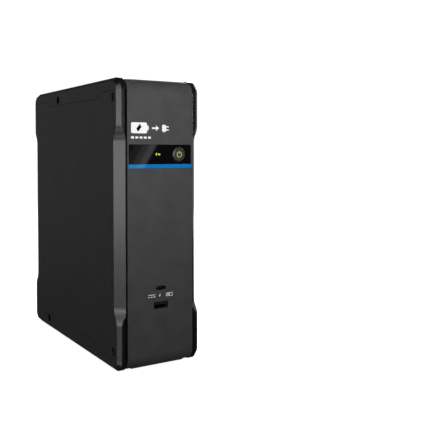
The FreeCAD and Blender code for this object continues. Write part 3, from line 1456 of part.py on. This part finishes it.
key.dress("Fillet", "0.6", lambda p, d: abs(p.y - size(REAR)) < 1e-6)
name_node("breaker_button", key.body)
nut_ring = doc.addObject("Part::Prism", "nut_prism")
nut_ring.Polygon = 6
nut_ring.Placement = FreeCAD.Placement(V(), TURNS["y"])
bind(nut_ring, "Circumradius", "breaker_bush + 3")
bind(nut_ring, "Height", f"{REAR} - 0.7 - ({PANEL_FACE})")
for axis, place in zip("xyz", (BREAKER_AT[0], PANEL_FACE, BREAKER_AT[1])):
    bind(nut_ring, f"Placement.Base.{axis}", place)
nut_hole = rod("nut_hole", "y", (f"{PANEL_FACE} - 1", f"{REAR} + 1"), BREAKER_AT, "breaker_bush")
name_node("breaker_nut", cut("nut_solid", nut_ring, nut_hole))

JACK_FACE = f"({PANEL_FACE} + 0.4)"
jacks = box(
    "jack_block",
    ("jack_across - jack_wide", "jack_across + jack_wide"),
    (f"{DATA_BOARD}", JACK_FACE),
    ("jack_up - jack_high/2", "jack_up + jack_high/2"),
)
jack_rooms = []
for side in ("-1", "1"):
    centre = f"(jack_across + {side}*jack_wide/2)"
    jack_rooms.append(
        box(
            "jack_room",
            (f"{centre} - 5.9", f"{centre} + 5.9"),
            (f"{JACK_FACE} - 12.5", f"{JACK_FACE} + 1"),
            ("jack_up - 3", "jack_up + 4.6"),
        ),
    )
    jack_rooms.append(
        box(
            "jack_key",
            (f"{centre} - 2.4", f"{centre} + 2.4"),
            (f"{JACK_FACE} - 12.5", f"{JACK_FACE} + 1"),
            ("jack_up - 5", "jack_up - 2.5"),
        ),
    )
name_node("data_jacks", cut("jack_solid", jacks, *jack_rooms))
wires = []
for side in ("-1", "1"):
    for i in range(8):
        x = f"(jack_across + {side}*jack_wide/2 + {1.02*(i - 3.5):.2f})"
        wires.append(
            box(
                "jack_wire",
                (f"{x} - 0.2", f"{x} + 0.2"),
                (f"{JACK_FACE} - 12.5", f"{JACK_FACE} - 4"),
                ("jack_up + 4.0", "jack_up + 4.6"),
            ),
        )
name_node("jack_contacts", fuse("jack_wires", *wires))

b_can = Body("usb_b_can", "y")
b_can.pad(
    (DATA_BOARD, JACK_FACE),
    rectangle(("usb_b_across - 6", "usb_b_across + 6"), ("jack_up - 5.5", "jack_up + 5.5")),
)
b_can.pocket(
    (f"{JACK_FACE} - 10", JACK_FACE),
    rectangle(("usb_b_across - 4.2", "usb_b_across + 4.2"), ("jack_up - 3.9", "jack_up + 3.9")),
)
b_bar = box(
    "usb_b_bar",
    ("usb_b_across - 2.8", "usb_b_across + 2.8"),
    (f"{JACK_FACE} - 10.5", f"{JACK_FACE} - 1"),
    ("jack_up - 1.6", "jack_up + 1.6"),
)
name_node("usb_b_port", fuse("usb_b_solid", b_can.body, b_bar))

data_plate = Body("data_board_body", "y")
data_plate.pad(
    (f"{DATA_BOARD} - board_thick", DATA_BOARD), rectangle(("-28", "28"), ("jack_up - 10", "jack_up + 10"))
)
name_node("data_board", data_plate.body)

# ---------------------------------------------------------------- checks and export

doc.recompute()
for thing in doc.Objects:
    if "Invalid" in thing.State or "Error" in thing.State:
        raise RuntimeError(f"{thing.Label} did not rebuild: {thing.State}")
os.makedirs("parts", exist_ok=True)
for node, thing in nodes.items():
    if thing.Label != node:
        raise RuntimeError(f"{node} is labelled {thing.Label}")
    if thing.Shape.isNull() or not thing.Shape.isValid() or not thing.Shape.Solids:
        raise RuntimeError(f"{node} has no valid solid")
for node, thing in nodes.items():
    thing.Shape.exportStep(f"parts/{node}.step")
print(len(nodes), "parts written")
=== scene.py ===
"""Looks for the uninterruptible power supply: materials, printed marks, studio light and the camera."""
import math

import bmesh
import bpy
from mathutils import Matrix, Vector


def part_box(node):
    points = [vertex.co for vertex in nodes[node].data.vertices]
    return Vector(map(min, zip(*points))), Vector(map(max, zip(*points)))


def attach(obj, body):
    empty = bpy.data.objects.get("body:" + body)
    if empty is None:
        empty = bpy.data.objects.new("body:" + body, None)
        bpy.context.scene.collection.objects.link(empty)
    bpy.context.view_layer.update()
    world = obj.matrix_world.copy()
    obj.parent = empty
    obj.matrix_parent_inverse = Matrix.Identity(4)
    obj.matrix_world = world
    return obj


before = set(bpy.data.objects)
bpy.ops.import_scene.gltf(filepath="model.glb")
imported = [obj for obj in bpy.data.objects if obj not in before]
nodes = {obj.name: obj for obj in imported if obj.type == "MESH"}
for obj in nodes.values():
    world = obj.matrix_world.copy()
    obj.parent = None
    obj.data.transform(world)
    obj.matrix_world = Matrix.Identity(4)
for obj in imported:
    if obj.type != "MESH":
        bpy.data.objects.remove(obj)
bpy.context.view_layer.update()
MM = 0.001
COAT_ROUGH = 0.1
BEVEL_SAMPLES = 4
RIM_NORMAL = 0.93  # a shell's faces turned further from X than this are its glossy rim
EDGE_NORMAL = 0.7  # a bezel's faces turned nearer to X than this are its side edges
PRINT_PROUD, PRINT_SUNK = 0.6, 0.4  # the shares of a mark's thickness in front of and behind its face

# ---------------------------------------------------------------- materials


def link(tree, start, end):
    tree.links.new(start, end)


def node(tree, kind, **settings):
    """A shader node with its properties set by name and its inputs by 'in_' and the socket's number."""
    made = tree.nodes.new(kind)
    for key, value in settings.items():
        if key.startswith("in_"):
            made.inputs[int(key[3:])].default_value = value
        else:
            setattr(made, key, value)
    return made


def noise(tree, scale, detail=3.0, roughness=0.5, stretch=None):
    """Noise in the object's own metres, scale being features per metre."""
    place = node(tree, "ShaderNodeTexCoord").outputs["Object"]
    if stretch:
        mapping = node(tree, "ShaderNodeMapping")
        mapping.inputs["Scale"].default_value = stretch
        link(tree, place, mapping.inputs["Vector"])
        place = mapping.outputs["Vector"]
    made = node(tree, "ShaderNodeTexNoise")
    made.inputs["Scale"].default_value = scale
    made.inputs["Detail"].default_value = detail
    made.inputs["Roughness"].default_value = roughness
    link(tree, place, made.inputs["Vector"])
    return made.outputs["Fac"]


def spread(tree, source, low, high, start=0.3, end=0.7):
    """source mapped from start..end to low..high."""
    made = node(tree, "ShaderNodeMapRange")
    for key, value in (("From Min", start), ("From Max", end), ("To Min", low), ("To Max", high)):
        made.inputs[key].default_value = value
    link(tree, source, made.inputs["Value"])
    return made.outputs["Result"]


def blend_colours(tree, factor, first, second):
    made = node(tree, "ShaderNodeMix", data_type="RGBA")
    made.inputs["A"].default_value = (*first, 1)
    made.inputs["B"].default_value = (*second, 1)
    link(tree, factor, made.inputs["Factor"])
    return made.outputs["Result"]


def surface(name, colour, rough, vary=0.12, blotch=60, grain=1500, bump=0.15, bump_mm=0.03, edge_mm=0.25,
            metal=0.0, specular=0.5, coat=0.0, stretch=None, rough_vary=0.08, glow=None, glow_strength=0.0):
    """A surface with slow colour drift, a fine grain in its roughness and relief, and softened edges."""
    material = bpy.data.materials.new(name)
    material.use_nodes = True
    tree = material.node_tree
    shader = tree.nodes["Principled BSDF"]
    shader.inputs["Metallic"].default_value = metal
    shader.inputs["Specular IOR Level"].default_value = specular
    shader.inputs["Coat Weight"].default_value = coat
    shader.inputs["Coat Roughness"].default_value = COAT_ROUGH
    slow = spread(tree, noise(tree, blotch, 4, stretch=stretch), 0, 1)
    dark = tuple(c * (1 - vary) for c in colour)
    light = tuple(min(1, c * (1 + vary)) for c in colour)
    link(tree, blend_colours(tree, slow, dark, light), shader.inputs["Base Color"])
    fine = noise(tree, grain, 2, stretch=stretch)
    link(tree, spread(tree, fine, rough - rough_vary, rough + rough_vary), shader.inputs["Roughness"])
    relief = node(tree, "ShaderNodeBump")
    relief.inputs["Strength"].default_value = bump
    relief.inputs["Distance"].default_value = bump_mm * MM
    link(tree, fine, relief.inputs["Height"])
    if edge_mm:
        soft = node(tree, "ShaderNodeBevel", samples=BEVEL_SAMPLES)
        soft.inputs["Radius"].default_value = edge_mm * MM
        link(tree, soft.outputs["Normal"], relief.inputs["Normal"])
    link(tree, relief.outputs["Normal"], shader.inputs["Normal"])
    if glow:
        shader.inputs["Emission Color"].default_value = (*glow, 1)
        shader.inputs["Emission Strength"].default_value = glow_strength
    return material


SIDE_MATTE = surface(
    "side_matte", (0.020, 0.020, 0.021), 0.52, grain=2600, bump=0.25, bump_mm=0.04, specular=0.35
)
RIM_GLOSS = surface(
    "rim_gloss", (0.004, 0.004, 0.0045), 0.23, grain=700, bump=0.01, edge_mm=0.5, specular=0.5,
    rough_vary=0.01
)
BEZEL = surface(
    "bezel_grain", (0.050, 0.050, 0.051), 0.62, grain=2000, bump=0.7, bump_mm=0.07, specular=0.22
)
BEZEL_EDGE = surface(
    "bezel_edge", (0.010, 0.010, 0.011), 0.4, specular=0.15, grain=900, bump=0.02, edge_mm=1.2,
    rough_vary=0.02
)
CASING = surface(
    "casing_matte", (0.020, 0.020, 0.021), 0.55, grain=2400, bump=0.3, bump_mm=0.05, specular=0.4
)
PANEL = surface(
    "rear_panel_matte", (0.026, 0.026, 0.027), 0.5, grain=2400, bump=0.3, bump_mm=0.05, specular=0.4
)
WINDOW = surface(
    "window_gloss", (0.0012, 0.0012, 0.0016), 0.03, grain=300, bump=0.0005, bump_mm=0.01,
    rough_vary=0.005, edge_mm=0
)
STRIPE = surface(
    "stripe_blue", (0.002, 0.165, 0.44), 0.04, vary=0.04, grain=300, bump=0.0005, bump_mm=0.01,
    rough_vary=0.005
)
BUTTON = surface("button_grey", (0.028, 0.028, 0.028), 0.36, grain=1800, bump=0.06, coat=0.2)
GREEN = surface(
    "lit_green", (0.20, 0.28, 0.05), 0.35, glow=(0.40, 0.52, 0.07), glow_strength=0.7, edge_mm=0
)
LIME = surface("lit_lime", (0.3, 0.4, 0.04), 0.35, glow=(0.58, 0.70, 0.07), glow_strength=0.6, edge_mm=0)
PRINT = surface("white_print", (0.80, 0.80, 0.80), 0.55, vary=0.03, grain=3000, bump=0.05, edge_mm=0)
BOARD = surface(
    "board_green", (0.012, 0.085, 0.035), 0.32, vary=0.25, blotch=220, grain=1600, bump=0.1, coat=0.3
)
STEEL = surface("plated_steel", (0.55, 0.55, 0.56), 0.28, vary=0.06, grain=1200, bump=0.06, metal=1.0)
DARK_NICKEL = surface("dark_nickel", (0.10, 0.10, 0.105), 0.32, vary=0.06, grain=1200, bump=0.06, metal=1.0)
ZINC = surface(
    "zinc_plate", (0.50, 0.49, 0.45), 0.34, vary=0.12, blotch=300, grain=1200, bump=0.08, metal=1.0
)
BRASS = surface("brass_contact", (0.78, 0.56, 0.25), 0.25, vary=0.08, grain=1200, bump=0.05, metal=1.0)
ALUMINIUM = surface(
    "drawn_aluminium", (0.62, 0.63, 0.65), 0.36, vary=0.06, grain=700, bump=0.12, metal=1.0,
    stretch=(1, 1, 0.06)
)
COPPER = surface(
    "wound_copper", (0.42, 0.16, 0.05), 0.3, vary=0.2, blotch=90, grain=800, bump=0.5, bump_mm=0.15,
    stretch=(0.05, 1, 1), coat=0.5
)
CORE = surface(
    "laminations", (0.07, 0.072, 0.078), 0.42, vary=0.35, blotch=1400, grain=1400, bump=0.5,
    bump_mm=0.12, stretch=(1, 0.02, 0.02), metal=0.7
)
JAR = surface("battery_jar", (0.035, 0.036, 0.040), 0.42, grain=1400, bump=0.15)
LID = surface("battery_lid", (0.022, 0.022, 0.025), 0.45, grain=1400, bump=0.15)
RED = surface("red_insulation", (0.42, 0.012, 0.010), 0.38, grain=900, bump=0.1, coat=0.1)
BLACK_WIRE = surface("black_insulation", (0.012, 0.012, 0.012), 0.38, grain=900, bump=0.1, coat=0.1)
SLEEVE = surface("nylon_sleeve", (0.55, 0.54, 0.48), 0.3, grain=900, bump=0.05, coat=0.2)
FOAM = surface(
    "foam", (0.018, 0.018, 0.018), 0.9, vary=0.3, blotch=900, grain=1500, bump=0.9, bump_mm=0.3,
    specular=0.2
)
NYLON = surface("white_nylon", (0.62, 0.61, 0.56), 0.4, grain=900, bump=0.06)
RELAY = surface("relay_blue", (0.010, 0.06, 0.22), 0.25, vary=0.06, grain=900, bump=0.05, coat=0.3)
PACKAGE = surface("package_black", (0.014, 0.014, 0.014), 0.5, grain=2400, bump=0.2)
FERRITE = surface("coated_core", (0.06, 0.13, 0.09), 0.4, vary=0.2, grain=1500, bump=0.2)
SOCKET = surface("socket_black", (0.016, 0.016, 0.017), 0.4, grain=2200, bump=0.2, specular=0.45)
HOLE_BLACK = surface("tongue_black", (0.01, 0.01, 0.01), 0.4, grain=1200, bump=0.06)

LOOKS = {
    "battery_door": SIDE_MATTE,
    "mid_casing": CASING,
    "rear_panel": PANEL,
    "battery_shelf": CASING,
    "display_window": WINDOW,
    "accent_strip": STRIPE,
    "power_button": BUTTON,
    "power_symbol": GREEN,
    "status_symbol": LIME,
    "display_board": BOARD,
    "usb_board": BOARD,
    "main_board": BOARD,
    "data_board": BOARD,
    "display_leds": NYLON,
    "tact_switch": PACKAGE,
    "usb_a_shell": DARK_NICKEL,
    "usb_c_shell": DARK_NICKEL,
    "usb_a_tongue": HOLE_BLACK,
    "usb_c_tongue": HOLE_BLACK,
    "usb_a_contacts": BRASS,
    "jack_contacts": BRASS,
    "outlet_contacts": BRASS,
    "inlet_pins": BRASS,
    "battery_case": JAR,
    "battery_lid": LID,
    "battery_terminals": STEEL,
    "terminal_sleeves": SLEEVE,
    "positive_lead": RED,
    "negative_lead": BLACK_WIRE,
    "foam_pads": FOAM,
    "transformer_core": CORE,
    "transformer_coil": COPPER,
    "transformer_bobbin": NYLON,
    "transformer_bracket": ZINC,
    "transformer_screws": ZINC,
    "board_screws": ZINC,
    "door_screws": ZINC,
    "case_screws": ZINC,
    "inlet_screws": STEEL,
    "heat_sink": ALUMINIUM,
    "power_transistors": PACKAGE,
    "filter_capacitors": RELAY,
    "transfer_relays": RELAY,
    "filter_choke": FERRITE,
    "mains_fuse": NYLON,
    "buzzer": PACKAGE,
    "inlet_socket": SOCKET,
    "breaker_body": SOCKET,
    "breaker_button": PACKAGE,
    "breaker_nut": STEEL,
    "data_jacks": SOCKET,
    "usb_b_port": STEEL,
}
LOOKS.update({f"outlet_{i}": SOCKET for i in range(1, 5)})


def dress(name, first, second=None, second_faces=None):
    """Gives a CAD node its material, and a second one on the faces whose normal the test accepts."""
    mesh = nodes[name].data
    mesh.materials.clear()
    mesh.materials.append(first)
    if second:
        mesh.materials.append(second)
    for face in mesh.polygons:
        face.material_index = int(bool(second) and second_faces(face.normal))


for name, look in LOOKS.items():
    dress(name, look)
for name in ("left_shell", "right_shell"):
    dress(name, SIDE_MATTE, RIM_GLOSS, lambda normal: abs(normal.x) < RIM_NORMAL)
front_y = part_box("front_bezel")[0].y
dress("front_bezel", BEZEL, BEZEL_EDGE, lambda normal: abs(normal.x) > EDGE_NORMAL)

# ---------------------------------------------------------------- printed marks


def mark(name, outlines, origin, material, body, thick=0.05):
    """Prints closed (across, up) outlines in mm as thin prisms on a face that looks to -Y."""
    mesh = bpy.data.meshes.new(name)
    built = bmesh.new()
    for outline in outlines:
        near, far = (
            [
                built.verts.new((origin.x + a * MM, origin.y + thick * MM * depth, origin.z + b * MM))
                for a, b in outline
            ]
            for depth in (-PRINT_PROUD, PRINT_SUNK)
        )
        count = len(outline)
        built.faces.new(near)
        built.faces.new(list(reversed(far)))
        for i in range(count):
            j = (i + 1) % count
            built.faces.new((near[j], near[i], far[i], far[j]))
    bmesh.ops.triangulate(built, faces=[f for f in built.faces if len(f.verts) > 4])
    bmesh.ops.recalc_face_normals(built, faces=built.faces)
    built.to_mesh(mesh)
    built.free()
    mesh.materials.append(material)
    piece = bpy.data.objects.new(name, mesh)
    bpy.context.scene.collection.objects.link(piece)
    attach(piece, body)


def rounded(x0, x1, z0, z1, r, steps=5):
    """A rounded rectangle's outline."""
    points = []
    corners = ((x1 - r, z0 + r, -90), (x1 - r, z1 - r, 0), (x0 + r, z1 - r, 90), (x0 + r, z0 + r, 180))
    for cx, cz, start in corners:
        for i in range(steps + 1):
            a = math.radians(start + 90 * i / steps)
            points.append((cx + r * math.cos(a), cz + r * math.sin(a)))
    return points


def frame_strokes(x0, x1, z0, z1, r, stroke):
    """A rounded frame as four-sided pieces, so that each is a simple outline."""
    outer = rounded(x0, x1, z0, z1, r)
    inner = rounded(x0 + stroke, x1 - stroke, z0 + stroke, z1 - stroke, max(0.05, r - stroke))
    count = len(outer)
    return [[outer[i], outer[(i + 1) % count], inner[(i + 1) % count], inner[i]] for i in range(count)]


def scaled(points, factor, across, up):
    return [(across + a * factor, up + b * factor) for a, b in points]


BOLT = [(0.3, 2.0), (-1.5, -0.35), (-0.25, -0.35), (-0.6, -2.0), (1.3, 0.5), (0.1, 0.5), (0.9, 2.0)]
on_bezel = Vector((0, front_y, 0))

# The shapes on the bezel, in mm across from its middle and up from the floor.
badge = [
    rounded(-29, -13.5, 210.8, 220.4, 1.6),  # a battery and its terminal
    rounded(-13.4, -11.9, 213.6, 217.6, 0.4),
    [(-8.6, 214.9), (-4.6, 214.9), (-4.6, 213.2), (-1.4, 215.6),  # an arrow
     (-4.6, 218.0), (-4.6, 216.3), (-8.6, 216.3)],
    rounded(1.4, 5.6, 212.4, 218.8, 1.4),  # a plug and its two pins
    rounded(5.5, 8.2, 213.7, 214.8, 0.3),
    rounded(5.5, 8.2, 216.4, 217.5, 0.3),
]
mark("badge_print", badge, on_bezel, PRINT, "case")
mark("badge_bolt", [scaled(BOLT, 1.75, -21.2, 215.6)], on_bezel, WINDOW, "case", thick=0.09)
levels = [rounded(-29 + 4.1 * i, -26.2 + 4.1 * i, 206.2, 208.0, 0.5) for i in range(5)]
mark("level_print", levels, on_bezel, PRINT, "case")

ports = [rounded(-12.8, -5.6, 66.1, 66.75, 0.2)]
ports += [rounded(-12.8 + 2.65 * i, -10.9 + 2.65 * i, 64.2, 64.85, 0.2) for i in range(3)]
ports += [scaled(BOLT, 0.72, -1.2, 65.4)]
ports += frame_strokes(5.2, 12.0, 63.9, 67.0, 0.6, 0.45)
ports += [rounded(6.3, 8.9, 64.9, 66.0, 0.2)]
mark("port_print", ports, on_bezel, PRINT, "case")

# ---------------------------------------------------------------- floor, light and camera

CAMERA_AT = (-0.27878, -0.651734, 0.194528)
CAMERA_TILT, CAMERA_TURN = -1.387, -32.962  # degrees from level and from looking along +Y
SENSOR_WIDTH, LENS = 36, 53.7605
PHOTO_PIXELS, SHIFT_PIXELS = 448, -56
CLIP_NEAR, CLIP_FAR = 0.02, 60

FLOOR_HALF = 6
FLOOR_DROP = 0.00005
PAINTED_SHADOW_GLOW, GLOW_FAR = 0.88, 1.02  # the floor's own brightness near the part, dimmed there as a painted shadow, and away from it
SHADOW_FADE_START, SHADOW_FADE_END = 0.15, 0.9  # metres from the part over which the painted shadow fades out
BACKGROUND_STRENGTH = 1.05  # as the camera sees it
SURROUNDINGS_STRENGTH = 0.05  # as it lights the part

LEFT_AIM = (-0.04, -0.11, 0.16)
MIDDLE_AIM = (0, 0, 0.15)
SOFTBOXES = (  # name, place, target, width, height, radiance
    ("left_box", (-1.55, -0.72, 0.12), LEFT_AIM, 0.45, 0.4, 4.1),
    ("left_upper_box", (-1.55, -0.72, 0.56), LEFT_AIM, 0.45, 0.5, 3.0),
    ("left_low_box", (-1.55, -0.72, -0.35), LEFT_AIM, 0.45, 0.54, 0.9),
    ("left_under_box", (-1.55, -0.72, -1.6), LEFT_AIM, 0.45, 2.1, 2.2),
    ("left_high_box", (-1.4, -0.68, 1.3), LEFT_AIM, 0.45, 1.0, 2.4),
    ("ear_line_box", (-1.55, -1.12, 0.02), (0.03, -0.1175, 0.15), 0.1, 0.8, 14.0),
    ("front_box", (-0.05, -0.5, 0.26), (0, -0.1175, 0.52), 0.2, 0.2, 14.5),
    ("rear_box", (0.75, 1.28, 0.5), (0, 0, 0.2), 0.35, 0.35, 4.0),
    ("rear_left_box", (-0.85, 1.7, 0.45), MIDDLE_AIM, 1.3, 1.4, 0.2),
    ("back_key_box", (0.9, 1.0, 0.8), (0, 0.1, 0.13), 0.6, 0.5, 16.0),
    ("right_key_box", (1.0, -0.25, 0.95), (0.04, 0, 0.13), 0.4, 0.6, 3.0),
    ("right_box", (1.3, 0.6, 0.5), MIDDLE_AIM, 0.5, 1.2, 0.3),
)

CARD_REACH, CARD_HIGH = 1.0, 0.12
LINE_ENDS = ((-0.0144, 0.1837), (-0.004, 0.2006))  # x and z where the line starts and ends in the window
WINDOW_MIDDLE = (-0.01, 0.192)
CARD_STRIPS = (  # start, end, radiance
    (0.0, 0.014, 1.0),
    (0.014, 0.028, 0.5),
    (0.028, 0.045, 0.2),
    (0.045, 0.2, 0.05),
)


def floor(size):
    """A plain pale floor just under the part, left out of reflections so the case stays dark low down, with
    its glow dimmed near the part as a painted shadow.
    """
    mesh = bpy.data.meshes.new("floor")
    corners = [(-size, -size, 0), (size, -size, 0), (size, size, 0), (-size, size, 0)]
    mesh.from_pydata(corners, [], [(0, 1, 2, 3)])
    made = bpy.data.objects.new("floor", mesh)
    bpy.context.scene.collection.objects.link(made)
    made.location.z = -FLOOR_DROP
    made.visible_glossy = False
    made.visible_diffuse = False
    made.visible_shadow = False
    mesh.materials.append(
        surface("floor_pale", (0.9, 0.9, 0.9), 0.7, vary=0.01, blotch=3, grain=80, bump=0.0, edge_mm=0,
                specular=0.1, glow=(1, 1, 1))
    )
    tree = mesh.materials[0].node_tree
    # The floor glows less near the part: a painted shadow around it, fading out with distance.
    away = node(tree, "ShaderNodeVectorMath", operation="LENGTH")
    link(tree, node(tree, "ShaderNodeTexCoord").outputs["Object"], away.inputs[0])
    floor_glow_with_painted_shadow = spread(tree, away.outputs["Value"], PAINTED_SHADOW_GLOW, GLOW_FAR, SHADOW_FADE_START, SHADOW_FADE_END)
    link(tree, floor_glow_with_painted_shadow, tree.nodes["Principled BSDF"].inputs["Emission Strength"])


def area_light(name, width, height, radiance):
    """A rectangular area light that the camera doesn't see, as bright as its radiance says."""
    light = bpy.data.lights.new(name, "AREA")
    light.shape = "RECTANGLE"
    light.size, light.size_y = width, height
    light.energy = radiance * math.pi * width * height
    made = bpy.data.objects.new(name, light)
    bpy.context.scene.collection.objects.link(made)
    made.visible_camera = False
    return made


def softbox(name, place, target, width, height, radiance):
    """An area light at place facing target."""
    made = area_light(name, width, height, radiance)
    place, target = Vector(place), Vector(target)
    made.rotation_euler = (target - place).to_track_quat("-Z", "Y").to_matrix().to_euler()
    made.location = place


def studio(surroundings):
    """A white background around surroundings that light the part as dimly as their strength says."""
    world = bpy.data.worlds.new("studio")
    world.use_nodes = True
    tree = world.node_tree
    white = tree.nodes["Background"]
    white.inputs["Color"].default_value = (1, 1, 1, 1)
    white.inputs["Strength"].default_value = BACKGROUND_STRENGTH
    dim = node(tree, "ShaderNodeBackground")
    dim.inputs["Color"].default_value = (1, 1, 1, 1)
    dim.inputs["Strength"].default_value = surroundings
    either = node(tree, "ShaderNodeMixShader")
    link(tree, node(tree, "ShaderNodeLightPath").outputs["Is Camera Ray"], either.inputs["Fac"])
    link(tree, dim.outputs["Background"], either.inputs[1])
    link(tree, white.outputs["Background"], either.inputs[2])
    link(tree, either.outputs["Shader"], tree.nodes["World Output"].inputs["Surface"])
    bpy.context.scene.world = world
    bpy.context.scene.view_settings.view_transform = "Standard"


def window_card(start, end, radiance):
    """A strip of a dim card, start to end metres past the edge seen as a slanted line in the window."""
    mirrored = Vector((CAMERA_AT[0], 2 * front_y - CAMERA_AT[1], CAMERA_AT[2]))
    ends = []
    for x, z in LINE_ENDS:
        point = Vector((x, front_y, z))
        ends.append(point + (point - mirrored).normalized() * CARD_REACH)
    along = (ends[1] - ends[0]).normalized()
    towards = (Vector((WINDOW_MIDDLE[0], front_y, WINDOW_MIDDLE[1])) - ends[0]).normalized()
    side = along.cross(towards).normalized()
    if side.x > 0:
        side = -side
    made = area_light("window_card", end - start, CARD_HIGH, radiance)
    centre = (ends[0] + ends[1]) / 2 + side * (start + end) / 2
    back = side.cross(along)
    if back.dot(towards) > 0:
        side, back = -side, -back
    made.matrix_world = Matrix((side, along, back)).transposed().to_4x4()
    made.location = centre
    made.visible_diffuse = False


floor(FLOOR_HALF)
studio(SURROUNDINGS_STRENGTH)
for row in SOFTBOXES:
    softbox(*row)
for row in CARD_STRIPS:
    window_card(*row)

camera_data = bpy.data.cameras.new("camera")
camera_data.sensor_width = SENSOR_WIDTH
camera_data.lens = LENS
camera_data.shift_y = SHIFT_PIXELS / PHOTO_PIXELS
camera_data.clip_start, camera_data.clip_end = CLIP_NEAR, CLIP_FAR
camera = bpy.data.objects.new("camera", camera_data)
camera.location = CAMERA_AT
camera.rotation_euler = (math.radians(90 + CAMERA_TILT), 0, math.radians(CAMERA_TURN))
bpy.context.scene.collection.objects.link(camera)
bpy.context.scene.camera = camera
